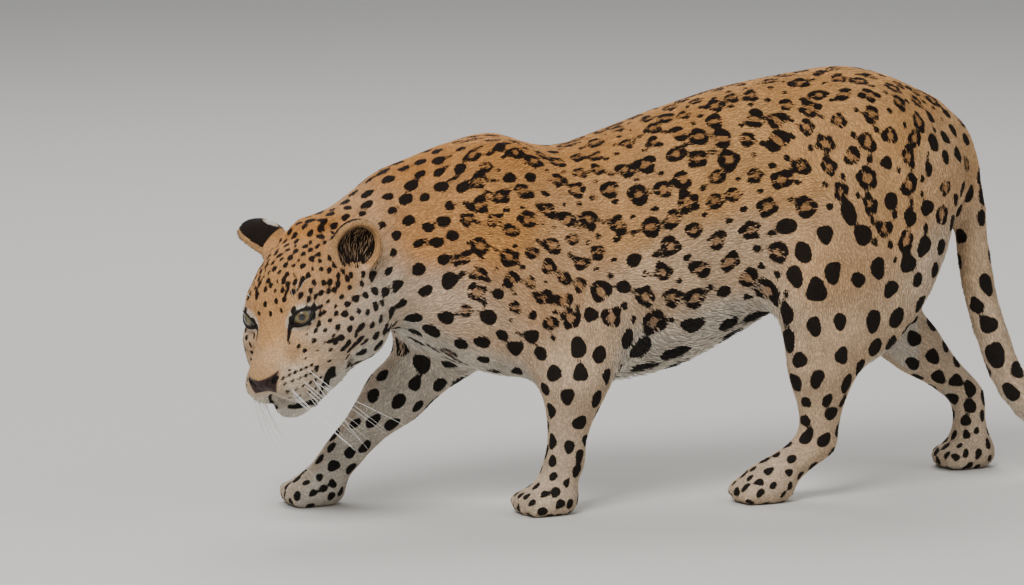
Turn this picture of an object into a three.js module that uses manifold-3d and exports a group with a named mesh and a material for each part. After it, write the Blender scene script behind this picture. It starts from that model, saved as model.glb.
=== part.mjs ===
// A life-size leopard, an adult female in a low stalking walk, modelled as a still figure.
// Units are millimetres and +Z is up. The body lies along X with the nose towards -X, and the
// animal's own left side faces -Y. The head is turned to its left and bowed.
//
// The body is one smooth form: a field that blends ellipsoids, tapered limbs and a lofted trunk.
// Each named piece is that form meshed at its own fineness and parted from its neighbours by
// thin cuts, so that pieces meet face to face with a small gap.
import * as THREE from "three";
import { mergeVertices } from "three/addons/utils/BufferGeometryUtils.js";
import Module from "manifold-3d";

const wasm = await Module();
wasm.setup();

// Driving sizes
const GAP = 0.3; // between pieces that touch
const HEAD_SCALE = 1.11; // the head sheet below is drawn for a head 212 mm long
const HEAD_YAW = 43; // degrees the nose turns to the animal's left
const HEAD_PITCH = 27; // degrees the nose drops
const HEAD_ROLL = -7; // degrees the left cheek drops
const EYE_RADIUS = 15.5; // on the head sheet
const LID_THICKNESS = 2.8; // on the head sheet
const TAIL_RADIUS = 24;
const EAR_HEIGHT = 33; // half, on the head sheet
const EAR_WIDTH = 28; // half, on the head sheet
const EAR_DEPTH = 23; // half, on the head sheet
const MOUTH_RADIUS = 3.2; // of the groove that parts the lips
const NOSTRIL_RADIUS = 3.4;
const LIP_SPLIT_RADIUS = 1.6;

// The grid that each piece is meshed with, as cell sizes along x, y and z
const CELLS = {
  torso: [32, 27, 27],
  neck: [21, 20, 20],
  head: [10, 10, 10],
  ear: [6.6, 6.6, 6.6],
  leg: [24, 20, 24],
  paw: [13, 12.5, 10.5],
  tail: [20, 15, 20],
  tailTip: [13, 12, 13],
};

const at = (x, y, z) => new THREE.Vector3(x, y, z);
const SIDE = at(0, 1, 0);
const UP = at(0, 0, 1);

// Joints, as the photo shows them. Left is the near side.
const JOINT = {
  occiput: at(-377, -15, 298),
  leftShoulder: at(-245, -66, 278),
  leftElbow: at(-74, -84, 248),
  leftForearm: at(-112, -86, 165),
  leftWrist: at(-124, -84, 70),
  leftPaw: at(-140, -84, 24),
  rightShoulder: at(-268, 66, 285),
  rightElbow: at(-212, 74, 196),
  rightForearm: at(-292, 72, 130),
  rightWrist: at(-356, 70, 68),
  rightPaw: at(-390, 70, 24),
  leftStifle: at(190, -88, 262),
  leftHock: at(206, -84, 76),
  leftHindPaw: at(138, -84, 24),
  rightStifle: at(318, 86, 226),
  rightHock: at(468, 84, 92),
  rightHindPaw: at(470, 84, 24),
};

// The trunk from chest to rump: [x, height of the back, height of the belly, half width]
const TRUNK = [
  [-320, 405, 236, 56],
  [-262, 432, 188, 84],
  [-190, 440, 160, 98],
  [-110, 441, 152, 106],
  [-40, 462, 146, 112],
  [40, 488, 158, 112],
  [110, 507, 190, 104],
  [190, 521, 232, 92],
  [270, 528, 262, 86],
  [340, 508, 288, 78],
  [392, 468, 318, 62],
  [424, 432, 345, 40],
];

// The tail's middle line, hanging from the rump and turning up at its end.
const TAIL = [
  at(372, 0, 462),
  at(411, 0, 425),
  at(431, -2, 350),
  at(437, -4, 288),
  at(449, -6, 224),
  at(470, -8, 160),
  at(494, -10, 110),
  at(536, -10, 74),
  at(586, -8, 60),
  at(634, -6, 76),
  at(664, -4, 112),
  at(676, -2, 158),
];

// Fields: each returns the distance in millimetres from its surface, negative inside.

// A limb that tapers from a to b. flat under 1 thins it across the given direction.
function limb(a, ra, b, rb, flat = 1, across = SIDE) {
  const axis = b.clone().sub(a);
  const length2 = axis.lengthSq();
  const thin = across.clone().addScaledVector(axis, -across.dot(axis) / length2).normalize();
  return (x, y, z) => {
    const px = x - a.x;
    const py = y - a.y;
    const pz = z - a.z;
    const share = (px * axis.x + py * axis.y + pz * axis.z) / length2;
    const t = Math.min(1, Math.max(0, share));
    const dx = px - t * axis.x;
    const dy = py - t * axis.y;
    const dz = pz - t * axis.z;
    const side = dx * thin.x + dy * thin.y + dz * thin.z;
    const rest = dx * dx + dy * dy + dz * dz - side * side;
    const far = Math.sqrt(Math.max(0, rest) + (side / flat) ** 2);
    return (far - (ra + t * (rb - ra))) * Math.sqrt(flat);
  };
}

// An ellipsoid whose axes are the three given unit vectors.
function ellipsoid(centre, radii, axes) {
  const [u, v, w] = axes;
  return (x, y, z) => {
    const px = x - centre.x;
    const py = y - centre.y;
    const pz = z - centre.z;
    const a = (px * u.x + py * u.y + pz * u.z) / radii[0];
    const b = (px * v.x + py * v.y + pz * v.z) / radii[1];
    const c = (px * w.x + py * w.y + pz * w.z) / radii[2];
    const near = Math.sqrt(a * a + b * b + c * c);
    const slope = Math.sqrt((a / radii[0]) ** 2 + (b / radii[1]) ** 2 + (c / radii[2]) ** 2);
    return slope < 1e-9 ? -Math.min(...radii) : (near * (near - 1)) / slope;
  };
}

// A flat muscle that runs from a to b, broad in the plane of the leg and thin from side to side.
function muscle(a, b, breadth, thickness, across = SIDE) {
  const along = b.clone().sub(a);
  const half = along.length() / 2;
  along.normalize();
  const thin = across.clone().addScaledVector(along, -across.dot(along)).normalize();
  const wide = new THREE.Vector3().crossVectors(along, thin);
  return ellipsoid(a.clone().add(b).multiplyScalar(0.5), [half, thickness, breadth], [along, thin, wide]);
}

// The two nearest stations of a table, blended along a smooth curve through all of them.
function station(table, x) {
  let i = 0;
  while (i < table.length - 2 && x > table[i + 1][0]) {
    i += 1;
  }
  const t = Math.min(1, Math.max(0, (x - table[i][0]) / (table[i + 1][0] - table[i][0])));
  const before = table[Math.max(0, i - 1)];
  const after = table[Math.min(table.length - 1, i + 2)];
  return [1, 2, 3].map((k) => {
    const [p, q, r, s] = [before[k], table[i][k], table[i + 1][k], after[k]];
    return q + 0.5 * t * (r - p + t * (2 * p - 5 * q + 4 * r - s + t * (3 * (q - r) + s - p)));
  });
}

// The lofted trunk: an egg-shaped section at every station.
function trunk(table) {
  const first = table[0][0];
  const last = table[table.length - 1][0];
  return (x, y, z) => {
    const inside = Math.min(last, Math.max(first, x));
    const [top, bottom, half] = station(table, inside);
    const middle = (top + bottom) / 2;
    const tall = (top - bottom) / 2;
    const a = y / half;
    const b = (z - middle) / tall;
    const near = Math.sqrt(a * a + b * b);
    const slope = Math.sqrt((a / half) ** 2 + (b / tall) ** 2);
    const flat = slope < 1e-9 ? -half : (near * (near - 1)) / slope;
    const past = Math.abs(x - inside);
    return past === 0 ? flat : Math.hypot(Math.max(0, flat), past) + Math.min(0, flat) * 0.2;
  };
}

// Joins two fields with a fillet of about the given size, or cuts one from the other.
const blend = (a, b, size) => {
  const h = Math.max(0, size - Math.abs(a - b)) / size;
  return Math.min(a, b) - (h * h * size) / 4;
};
const carve = (a, b, size) => -blend(-a, b, size);

// The head's own frame: f towards the nose, l towards the animal's left, u towards the crown.
const turn = (v, axis, degrees) => v.applyAxisAngle(axis, THREE.MathUtils.degToRad(degrees));
const HEAD = { f: at(-1, 0, 0), l: at(0, -1, 0), u: at(0, 0, 1) };
turn(HEAD.f, HEAD.u, HEAD_YAW);
turn(HEAD.l, HEAD.u, HEAD_YAW);
turn(HEAD.f, HEAD.l, HEAD_PITCH);
turn(HEAD.u, HEAD.l, HEAD_PITCH);
turn(HEAD.l, HEAD.f, -HEAD_ROLL);
turn(HEAD.u, HEAD.f, -HEAD_ROLL);
const onHead = (f, l, u) =>
  JOINT.occiput
    .clone()
    .addScaledVector(HEAD.f, f * HEAD_SCALE)
    .addScaledVector(HEAD.l, l * HEAD_SCALE)
    .addScaledVector(HEAD.u, u * HEAD_SCALE);
const headAxes = [HEAD.f, HEAD.l, HEAD.u];
const lump = (f, l, u, rf, rl, ru) =>
  ellipsoid(onHead(f, l, u), [rf, rl, ru].map((r) => r * HEAD_SCALE), headAxes);
const bar = (from, ra, to, rb, flat = 1) =>
  limb(onHead(...from), ra * HEAD_SCALE, onHead(...to), rb * HEAD_SCALE, flat, HEAD.l);

// Each entry is [field, size of its fillet with all before it].
const headForms = [
  [lump(64, 0, 24, 70, 57, 62), 0],
  [lump(110, 0, 32, 42, 43, 42), 30],
  [lump(58, 0, -34, 60, 44, 36), 30],
  [bar([118, 0, 10], 38, [186, 0, -2], 23), 24],
  [bar([72, 0, -36], 30, [168, 0, -44], 17), 22],
  [lump(176, 0, -46, 20, 18, 15), 14],
  [lump(201, 0, -1, 12, 16, 12), 10],
];
for (const s of [1, -1]) {
  headForms.push(
    [lump(96, 46 * s, -2, 46, 25, 26), 24],
    [lump(60, 42 * s, -22, 44, 28, 42), 24],
    [lump(127, 25 * s, 51, 19, 14, 10), 12],
    [lump(140, 36 * s, 10, 20, 15, 13), 14],
    [lump(183, 17 * s, -17, 27, 18, 18), 10],
    [bar([172, 22 * s, -20], 15, [132, 34 * s, -22], 17), 14],
  );
}
const eyeCentre = (s) => onHead(137, 28.5 * s, 34);
const gaze = (s) =>
  HEAD.f.clone().multiplyScalar(0.8).addScaledVector(HEAD.l, 0.52 * s).addScaledVector(HEAD.u, 0.3).normalize();

const eyeForms = [1, -1].map((s) => {
  const r = (EYE_RADIUS + LID_THICKNESS) * HEAD_SCALE;
  return ellipsoid(eyeCentre(s), [r, r, r], headAxes);
});
const socketForms = [1, -1].map((s) => lump(158, 39 * s, 38, 15, 13, 15));

// Ears: a cup hollowed out of an egg. opening is the way the cup faces, tip the way it stands.
function earOf(centre, opening, tip) {
  const t = tip.clone().normalize();
  const o = opening.clone().addScaledVector(t, -opening.dot(t)).normalize();
  const across = new THREE.Vector3().crossVectors(t, o);
  const radii = [EAR_DEPTH, EAR_WIDTH, EAR_HEIGHT].map((r) => r * HEAD_SCALE);
  const outer = ellipsoid(centre, radii, [o, across, t]);
  const hollow = ellipsoid(centre.clone().addScaledVector(o, 11), radii.map((r) => r - 5), [o, across, t]);
  const rim = (x, y, z) => (x - centre.x) * o.x + (y - centre.y) * o.y + (z - centre.z) * o.z - 9;
  const cup = (x, y, z) => carve(carve(outer(x, y, z), hollow(x, y, z), 3), -rim(x, y, z), 4);
  return { centre, axes: [o, across, t], radii, cup };
}
const onFace = (f, l, u) =>
  at(0, 0, 0).addScaledVector(HEAD.f, f).addScaledVector(HEAD.l, l).addScaledVector(HEAD.u, u);
const ears = [
  earOf(onHead(46, 58, 58), onFace(0.62, 0.76, 0.2), onFace(-0.34, 0.42, 0.84)),
  earOf(onHead(42, -58, 68), onFace(0.45, -0.67, -0.59), onFace(-0.11, -0.81, 0.57)),
];

function headField(x, y, z) {
  let d = 1e3;
  for (const [form, size] of headForms) {
    d = size ? blend(d, form(x, y, z), size) : form(x, y, z);
  }
  for (const socket of socketForms) {
    d = carve(d, socket(x, y, z), 12);
  }
  for (const eye of eyeForms) {
    d = blend(d, eye(x, y, z), 5);
  }
  for (const ear of ears) {
    d = blend(d, ear.cup(x, y, z), 12);
  }
  return d;
}

// Paws: a broad foot with four toes spread in front of it, pointing along heading.
function paw(wrist, foot, radius, heading, spread) {
  const f = heading.clone().normalize();
  const l = new THREE.Vector3().crossVectors(UP, f);
  const place = (a, b, z) => at(foot.x + a * f.x + b * l.x, foot.y + a * f.y + b * l.y, z);
  const frame = [f, l, UP];
  const forms = [
    [limb(wrist, radius, place(-4, 0, 26), radius * 0.96), 0],
    [ellipsoid(place(4, 0, 16), [36, spread * 1.05, 24], frame), 16],
  ];
  [-1.5, -0.5, 0.5, 1.5].forEach((k) => {
    const ahead = 32 - 5 * (Math.abs(k) - 0.5) ** 2;
    forms.push([ellipsoid(place(ahead, k * spread * 0.56, 13), [21, spread * 0.3, 16], frame), 5]);
  });
  return forms;
}

const TOWARDS_NOSE = at(-1, 0, 0);
const bodyForms = [
  [trunk(TRUNK), 0],
  // neck
  [limb(at(-215, 0, 346), 98, at(-300, -6, 324), 86, 0.8), 50],
  [limb(at(-300, -6, 324), 86, onHead(34, 0, 26), 69, 0.86), 40],
  // withers and shoulder blades
  [muscle(at(-178, -40, 464), at(-244, -78, 262), 56, 30), 28],
  [muscle(at(-164, 40, 456), at(-262, 76, 262), 56, 30), 28],
  // left upper arm with its triceps, and the breast muscle below it
  [limb(JOINT.leftShoulder, 58, JOINT.leftElbow, 44, 0.68), 26],
  [muscle(at(-226, -78, 372), at(-52, -88, 262), 62, 34), 22],
  [muscle(at(-300, -50, 262), at(-120, -60, 190), 52, 44), 30],
  // right upper arm
  [limb(JOINT.rightShoulder, 56, JOINT.rightElbow, 46, 0.68), 26],
  [muscle(at(-230, 78, 372), at(-180, 84, 200), 58, 34), 22],
  [muscle(at(-308, 50, 262), at(-190, 60, 196), 50, 44), 30],
  // left forearm
  [limb(JOINT.leftElbow, 44, JOINT.leftForearm, 44, 0.84), 22],
  [limb(JOINT.leftForearm, 43, JOINT.leftWrist, 25, 0.9), 16],
  [muscle(at(-48, -84, 276), at(-106, -84, 120), 26, 22), 16],
  // right forearm
  [limb(JOINT.rightElbow, 46, JOINT.rightForearm, 41, 0.84), 22],
  [limb(JOINT.rightForearm, 40, JOINT.rightWrist, 25, 0.9), 16],
  // left thigh and shank
  [muscle(at(300, -58, 500), at(196, -98, 232), 96, 46), 30],
  [muscle(at(372, -50, 440), at(232, -92, 160), 74, 42), 26],
  [limb(JOINT.leftStifle, 50, at(205, -90, 160), 42, 0.78), 22],
  [limb(at(205, -90, 160), 42, JOINT.leftHock, 25, 0.86), 18],
  // right thigh and shank
  [muscle(at(306, 58, 498), at(300, 96, 200), 88, 44), 30],
  [muscle(at(372, 50, 440), at(356, 88, 196), 66, 40), 26],
  [limb(JOINT.rightStifle, 52, at(392, 86, 160), 38, 0.78), 22],
  [limb(at(392, 86, 160), 37, JOINT.rightHock, 24, 0.86), 18],
  // hocks and feet down to the paws
  [limb(JOINT.leftHock, 25, JOINT.leftHindPaw, 24, 0.9), 12],
  [limb(JOINT.rightHock, 24, JOINT.rightHindPaw, 23, 0.9), 12],
];

const pawForms = {
  front_left: paw(JOINT.leftWrist, JOINT.leftPaw, 25, TOWARDS_NOSE, 34),
  front_right: paw(JOINT.rightWrist, JOINT.rightPaw, 25, TOWARDS_NOSE, 34),
  hind_left: paw(JOINT.leftHindPaw, JOINT.leftHindPaw, 24, TOWARDS_NOSE, 31),
  hind_right: paw(JOINT.rightHindPaw, JOINT.rightHindPaw, 23, TOWARDS_NOSE, 31),
};

const tailCurve = new THREE.CatmullRomCurve3(TAIL);
const TAIL_STEPS = 22;
const tailForms = [];
for (let i = 0; i < TAIL_STEPS; i += 1) {
  const radius = (t) => TAIL_RADIUS * (1.25 - 0.3 * Math.min(1, t * 6)) * (t > 0.93 ? 0.82 : 1);
  const [a, b] = [i / TAIL_STEPS, (i + 1) / TAIL_STEPS];
  tailForms.push([limb(tailCurve.getPointAt(a), radius(a), tailCurve.getPointAt(b), radius(b)), i ? 6 : 22]);
}

const groups = [bodyForms, tailForms, ...Object.values(pawForms)];
function bodyField(x, y, z) {
  let d = 1e3;
  for (const group of groups) {
    for (const [form, size] of group) {
      d = blend(d, form(x, y, z), size || 14);
    }
  }
  return blend(d, headField(x, y, z), 30);
}

// Meshing: each grid cell that the surface crosses gets one vertex for every sheet of surface
// in it, and each crossed grid edge gets the quad between the four cells around it.
const CORNERS = [0, 1, 2, 3, 4, 5, 6, 7].map((c) => [c & 1, (c >> 1) & 1, (c >> 2) & 1]);
const EDGES = CORNERS.flatMap((corner, p) =>
  [0, 1, 2].filter((axis) => corner[axis] === 0).map((axis) => ({ p, q: p | (1 << axis), axis })),
);
const edgeAt = (p, axis) => EDGES.findIndex((edge) => edge.p === p && edge.axis === axis);
const SIDES = [0, 1, 2].flatMap((axis) =>
  [0, 1].map((end) =>
    [...EDGES.keys()].filter((e) => CORNERS[EDGES[e].p][axis] === end && EDGES[e].axis !== axis),
  ),
);

// Names the sheet that each crossed edge of a cell belongs to, or -1 where it isn't crossed.
function sheetsOf(inside) {
  const crossed = EDGES.map(({ p, q }) => inside[p] !== inside[q]);
  const sheet = EDGES.map((_, e) => e);
  const join = (e, f) => {
    const [from, to] = [sheet[e], sheet[f]];
    sheet.forEach((name, i) => {
      if (name === from) sheet[i] = to;
    });
  };
  for (const side of SIDES) {
    const here = side.filter((e) => crossed[e]);
    if (here.length === 2) join(here[0], here[1]);
    if (here.length < 4) continue;
    for (const c of [0, 1, 2, 3, 4, 5, 6, 7].filter((corner) => inside[corner])) {
      const pair = here.filter((e) => EDGES[e].p === c || EDGES[e].q === c);
      if (pair.length === 2) join(pair[0], pair[1]);
    }
  }
  return sheet.map((name, e) => (crossed[e] ? name : -1));
}

function meshOf(field, low, high, cell) {
  const [nx, ny, nz] = [0, 1, 2].map((k) => Math.ceil((high[k] - low[k]) / cell[k]) + 1);
  const spot = (i, k) => low[k] + i * cell[k];
  const index = (i, j, k) => i + nx * (j + ny * k);
  const value = new Float64Array(nx * ny * nz);
  for (let k = 0; k < nz; k += 1) {
    for (let j = 0; j < ny; j += 1) {
      for (let i = 0; i < nx; i += 1) {
        const rim = i === 0 || j === 0 || k === 0 || i === nx - 1 || j === ny - 1 || k === nz - 1;
        value[index(i, j, k)] = rim ? cell[0] * 0.5 : field(spot(i, 0), spot(j, 1), spot(k, 2));
      }
    }
  }
  const points = [];
  const vertexAt = new Map();
  for (let k = 0; k < nz - 1; k += 1) {
    for (let j = 0; j < ny - 1; j += 1) {
      for (let i = 0; i < nx - 1; i += 1) {
        const v = CORNERS.map(([a, b, c]) => value[index(i + a, j + b, k + c)]);
        const inside = v.map((d) => d < 0);
        if (inside.every(Boolean) || !inside.some(Boolean)) continue;
        const sheets = sheetsOf(inside);
        const vertices = new Array(EDGES.length).fill(-1);
        for (const name of new Set(sheets.filter((n) => n >= 0))) {
          const sum = [0, 0, 0];
          const members = [...EDGES.keys()].filter((e) => sheets[e] === name);
          for (const e of members) {
            const { p, q, axis } = EDGES[e];
            CORNERS[p].forEach((c, n) => (sum[n] += c));
            sum[axis] += v[p] / (v[p] - v[q]);
            vertices[e] = points.length;
          }
          points.push(sum.map((s, n) => spot([i, j, k][n] + s / members.length, n)));
        }
        vertexAt.set(index(i, j, k), vertices);
      }
    }
  }
  const reach = Math.min(...cell) * 0.45;
  for (const point of points) settle(point, field, reach);
  const faces = [];
  const far = (m, n) => Math.hypot(...points[m].map((c, axis) => c - points[n][axis]));
  const quad = (a, b, c, d) => {
    if (far(a, c) < far(b, d)) faces.push(a, b, c, a, c, d);
    else faces.push(a, b, d, b, c, d);
  };
  for (let k = 0; k < nz; k += 1) {
    for (let j = 0; j < ny; j += 1) {
      for (let i = 0; i < nx; i += 1) {
        [0, 1, 2].forEach((axis) => {
          const next = [i, j, k];
          next[axis] += 1;
          if (next[0] >= nx || next[1] >= ny || next[2] >= nz) return;
          const here = value[index(i, j, k)] < 0;
          if (here === value[index(...next)] < 0) return;
          const [m, n] = [(axis + 1) % 3, (axis + 2) % 3];
          const ring = [[0, 0], [1, 0], [1, 1], [0, 1]].map(([a, b]) => {
            const cellAt = [i, j, k];
            cellAt[m] -= a;
            cellAt[n] -= b;
            return vertexAt.get(index(...cellAt))[edgeAt((a << m) | (b << n), axis)];
          });
          if (here) quad(...ring);
          else quad(ring[0], ring[3], ring[2], ring[1]);
        });
      }
    }
  }
  return { points, faces };
}

// Moves a point onto the field's surface, never further than reach.
function settle(p, field, reach) {
  const start = [...p];
  for (let pass = 0; pass < 3; pass += 1) {
    const d = field(...p);
    const e = 0.5;
    const slope = [
      (field(p[0] + e, p[1], p[2]) - field(p[0] - e, p[1], p[2])) / (2 * e),
      (field(p[0], p[1] + e, p[2]) - field(p[0], p[1] - e, p[2])) / (2 * e),
      (field(p[0], p[1], p[2] + e) - field(p[0], p[1], p[2] - e)) / (2 * e),
    ];
    const steep = slope.reduce((s, g) => s + g * g, 0);
    if (steep < 1e-6) return;
    for (let axis = 0; axis < 3; axis += 1) {
      const moved = p[axis] - (d * slope[axis]) / steep;
      p[axis] = Math.min(start[axis] + reach, Math.max(start[axis] - reach, moved));
    }
  }
}

// Solids
function solidOf({ points, faces }) {
  const vertProperties = new Float32Array(points.flat());
  return new wasm.Manifold(new wasm.Mesh({ numProp: 3, vertProperties, triVerts: new Uint32Array(faces) }));
}
function solidFrom(geometry) {
  const g = geometry.clone();
  g.deleteAttribute("normal");
  g.deleteAttribute("uv");
  const merged = mergeVertices(g, 1e-4);
  const vertProperties = merged.attributes.position.array;
  const triVerts = new Uint32Array(merged.index.array);
  return new wasm.Manifold(new wasm.Mesh({ numProp: 3, vertProperties, triVerts }));
}
const largest = (solid) =>
  solid.decompose().reduce((best, piece) => (piece.volume() > best.volume() ? piece : best));

// A big block on the side of a plane that normal points to, set back by half a gap.
const BLOCK = 1600;
function sideOf(point, normal) {
  const n = normal.clone().normalize();
  const block = new THREE.BoxGeometry(BLOCK, BLOCK, BLOCK);
  block.applyQuaternion(new THREE.Quaternion().setFromUnitVectors(UP, n));
  const middle = point.clone().addScaledVector(n, BLOCK / 2 + GAP / 2);
  block.translate(middle.x, middle.y, middle.z);
  return solidFrom(block);
}
const keep = (solid, point, normal) => solid.intersect(sideOf(point, normal));
const FLOOR = solidFrom(new THREE.BoxGeometry(BLOCK, BLOCK, BLOCK).translate(0, 0, BLOCK / 2));

const NARROWEST = 40; // from the middle of an outline to its nearest side

// A leg's share of the body, seen from the side: an ellipse round its upper mass, joined to the
// outline of all that hangs below it. It starts at the depth inner from the middle line.
function legShare(side, inner, [cx, cz, rx, rz], hanging, grow) {
  const depth = 260;
  const start = inner - grow;
  const upper = new THREE.Shape();
  upper.absellipse(cx, cz, rx + grow, rz + grow, 0, Math.PI * 2);
  const corners = hanging.map(([x, z]) => new THREE.Vector2(x, z));
  const middle = corners.reduce((sum, c) => sum.add(c), new THREE.Vector2()).divideScalar(corners.length);
  const swell = grow / NARROWEST;
  const lower = new THREE.Shape(corners.map((c) => c.clone().lerp(middle, -swell)));
  const [a, b] = [upper, lower].map((outline) => {
    const body = new THREE.ExtrudeGeometry(outline, { depth, bevelEnabled: false, curveSegments: 16 });
    body.rotateX(Math.PI / 2);
    body.translate(0, side < 0 ? -start : start + depth, 0);
    return solidFrom(body);
  });
  return a.add(b);
}
const LEGS = {
  front_left: [
    -1, 36, [-152, 250, 128, 104],
    [[-56, 200], [-200, 190], [-220, -20], [-60, -20], [-60, 140]],
  ],
  front_right: [
    1, 28, [-232, 270, 100, 110],
    [[-170, 190], [-345, 190], [-470, 80], [-470, -20], [-320, -20]],
  ],
  hind_left: [
    -1, 36, [272, 345, 138, 132],
    [[150, 262], [385, 300], [330, 120], [250, -20], [50, -20], [50, 90], [124, 170]],
  ],
  hind_right: [
    1, 36, [334, 330, 108, 138],
    [[248, 230], [436, 300], [540, 130], [540, -20], [380, -20], [380, 90]],
  ],
};
const share = (leg, grow) => legShare(...LEGS[leg], grow);

const model = new THREE.Group();
function addPiece(name, solid, material) {
  const mesh = solid.getMesh();
  const geometry = new THREE.BufferGeometry();
  const positions = new Float32Array(mesh.numVert * 3);
  for (let i = 0; i < mesh.numVert; i += 1) {
    positions.set(mesh.vertProperties.subarray(i * mesh.numProp, i * mesh.numProp + 3), i * 3);
  }
  geometry.setAttribute("position", new THREE.BufferAttribute(positions, 3));
  geometry.setIndex(new THREE.BufferAttribute(mesh.triVerts, 1));
  geometry.computeVertexNormals();
  const piece = new THREE.Mesh(geometry, material);
  piece.name = name;
  model.add(piece);
}
const coat = new THREE.MeshStandardMaterial({ color: 0xc9975a, roughness: 0.85, metalness: 0 });
const paleCoat = new THREE.MeshStandardMaterial({ color: 0xd8cbb4, roughness: 0.85, metalness: 0 });
const leather = new THREE.MeshStandardMaterial({ color: 0x1c1512, roughness: 0.5, metalness: 0 });
const iris = new THREE.MeshStandardMaterial({ color: 0x8a8350, roughness: 0.1, metalness: 0 });

// A closed round bar along a path. Its ends taper where it cuts a groove or a nostril.
function groove(path, radius, sides = 6, taper = true) {
  const curve = new THREE.CatmullRomCurve3(path);
  const rings = path.length * 2;
  const positions = [];
  const { normals, binormals } = curve.computeFrenetFrames(rings, false);
  for (let i = 0; i <= rings; i += 1) {
    const centre = curve.getPointAt(i / rings);
    const r = taper ? radius * Math.min(1, 0.35 + (2.6 * Math.min(i, rings - i)) / rings) : radius;
    for (let k = 0; k < sides; k += 1) {
      const turnBy = (k / sides) * Math.PI * 2;
      const p = centre.clone().addScaledVector(normals[i], r * Math.cos(turnBy));
      p.addScaledVector(binormals[i], r * Math.sin(turnBy));
      positions.push(p.x, p.y, p.z);
    }
  }
  const faces = [];
  for (let i = 0; i < rings; i += 1) {
    for (let k = 0; k < sides; k += 1) {
      const [a, b] = [i * sides + k, i * sides + ((k + 1) % sides)];
      faces.push(a, b, a + sides, b, b + sides, a + sides);
    }
  }
  for (let k = 1; k < sides - 1; k += 1) {
    faces.push(0, k + 1, k);
    faces.push(rings * sides, rings * sides + k, rings * sides + k + 1);
  }
  const vertProperties = new Float32Array(positions);
  return new wasm.Manifold(new wasm.Mesh({ numProp: 3, vertProperties, triVerts: new Uint32Array(faces) }));
}

// A ball stretched along three axes.
function ball(centre, radii, axes, grow = 0, detail = 14) {
  const sphere = new THREE.SphereGeometry(1, detail, Math.round(detail * 0.6));
  const stretched = axes.map((axis, k) => axis.clone().multiplyScalar(radii[k] + grow));
  const basis = new THREE.Matrix4().makeBasis(...stretched);
  return solidFrom(sphere.applyMatrix4(basis.setPosition(centre)));
}

// A straight prism of the given outline that runs along axis out of origin.
function prism(outline, origin, across, axis, depth) {
  const up = new THREE.Vector3().crossVectors(axis, across);
  const body = new THREE.ExtrudeGeometry(outline, { depth, bevelEnabled: false, curveSegments: 12 });
  return solidFrom(body.applyMatrix4(new THREE.Matrix4().makeBasis(across, up, axis).setPosition(origin)));
}

// Trunk
const neckCut = [at(-286, -2, 330), at(-0.94, -0.08, 0.3)];
const TAIL_CUTS = [0.05, 0.36, 0.68]; // shares of the tail's length
const tailCuts = TAIL_CUTS.map((t) => [tailCurve.getPointAt(t), tailCurve.getTangentAt(t)]);
const flip = ([point, normal]) => [point, normal.clone().negate()];

// The tail's share of the body is a sleeve round it that runs past its tip.
const SLEEVE = { radius: 34, sides: 14, pastTip: 40 };
const tailShare = (grow) => {
  const path = [TAIL_CUTS[0], 0.15, 0.3, 0.45, 0.6, 0.75, 0.9, 1].map((t) => tailCurve.getPointAt(t));
  path.push(tailCurve.getPointAt(1).addScaledVector(tailCurve.getTangentAt(1), SLEEVE.pastTip));
  return groove(path, SLEEVE.radius + grow, SLEEVE.sides, false);
};
let torso = solidOf(meshOf(bodyField, [-420, -170, 40], [470, 170, 580], CELLS.torso));
torso = keep(torso, ...flip(neckCut));
torso = torso.subtract(tailShare(GAP));
for (const leg of Object.keys(LEGS)) {
  torso = torso.subtract(share(leg, GAP));
}
addPiece("torso", largest(torso), coat);

// Neck
const headCut = [onHead(20, 0, 0), HEAD.f.clone().addScaledVector(HEAD.u, 0.22)];
let neck = solidOf(meshOf(bodyField, [-470, -150, 170], [-220, 140, 500], CELLS.neck));
neck = keep(neck, ...neckCut);
neck = keep(neck, ...flip(headCut));
for (const leg of ["front_left", "front_right"]) {
  neck = neck.subtract(share(leg, GAP));
}
addPiece("neck", largest(neck), coat);

// Head: the flesh first, then the ears, nose, eyes and lower jaw are parted from it.
const earShare = (ear, grow) => {
  const base = ear.centre.clone().addScaledVector(ear.axes[2], -16);
  const side = sideOf(base.addScaledVector(ear.axes[2], -grow), ear.axes[2]);
  return ball(ear.centre, ear.radii, ear.axes, 7 + grow).intersect(side);
};
let head = keep(solidOf(meshOf(bodyField, [-640, -260, 90], [-300, 110, 460], CELLS.head)), ...headCut);
ears.forEach((ear, i) => {
  const reach = 48;
  const low = ear.centre.toArray().map((c) => c - reach);
  const high = ear.centre.toArray().map((c) => c + reach);
  const solid = solidOf(meshOf(bodyField, low, high, CELLS.ear));
  const name = i === 0 ? "ear_left" : "ear_right";
  addPiece(name, largest(solid.intersect(earShare(ear, 0))), i === 0 ? paleCoat : coat);
  head = head.subtract(earShare(ear, GAP));
});

const noseOutline = new THREE.Shape();
noseOutline.moveTo(-19, 5);
noseOutline.quadraticCurveTo(0, 10, 19, 5);
noseOutline.quadraticCurveTo(23, -2, 15, -9);
noseOutline.quadraticCurveTo(6, -13, 0, -20);
noseOutline.quadraticCurveTo(-6, -13, -15, -9);
noseOutline.quadraticCurveTo(-23, -2, -19, 5);
const noseFrame = new THREE.Matrix4().makeBasis(HEAD.l, HEAD.u, HEAD.f).setPosition(onHead(192, 0, -1));
const noseShare = (scale) =>
  prism(noseOutline, at(0, 0, 0), at(1, 0, 0), UP, 60)
    .scale([scale * HEAD_SCALE, scale * HEAD_SCALE, 1])
    .transform(noseFrame.toArray());
const nostrils = [1, -1].map((s) => {
  const path = [onHead(188, 9 * s, -6), onHead(203, 9 * s, -6), onHead(211, 12 * s, -4), onHead(203, 22 * s, 1)];
  return groove(path, NOSTRIL_RADIUS);
});
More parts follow.
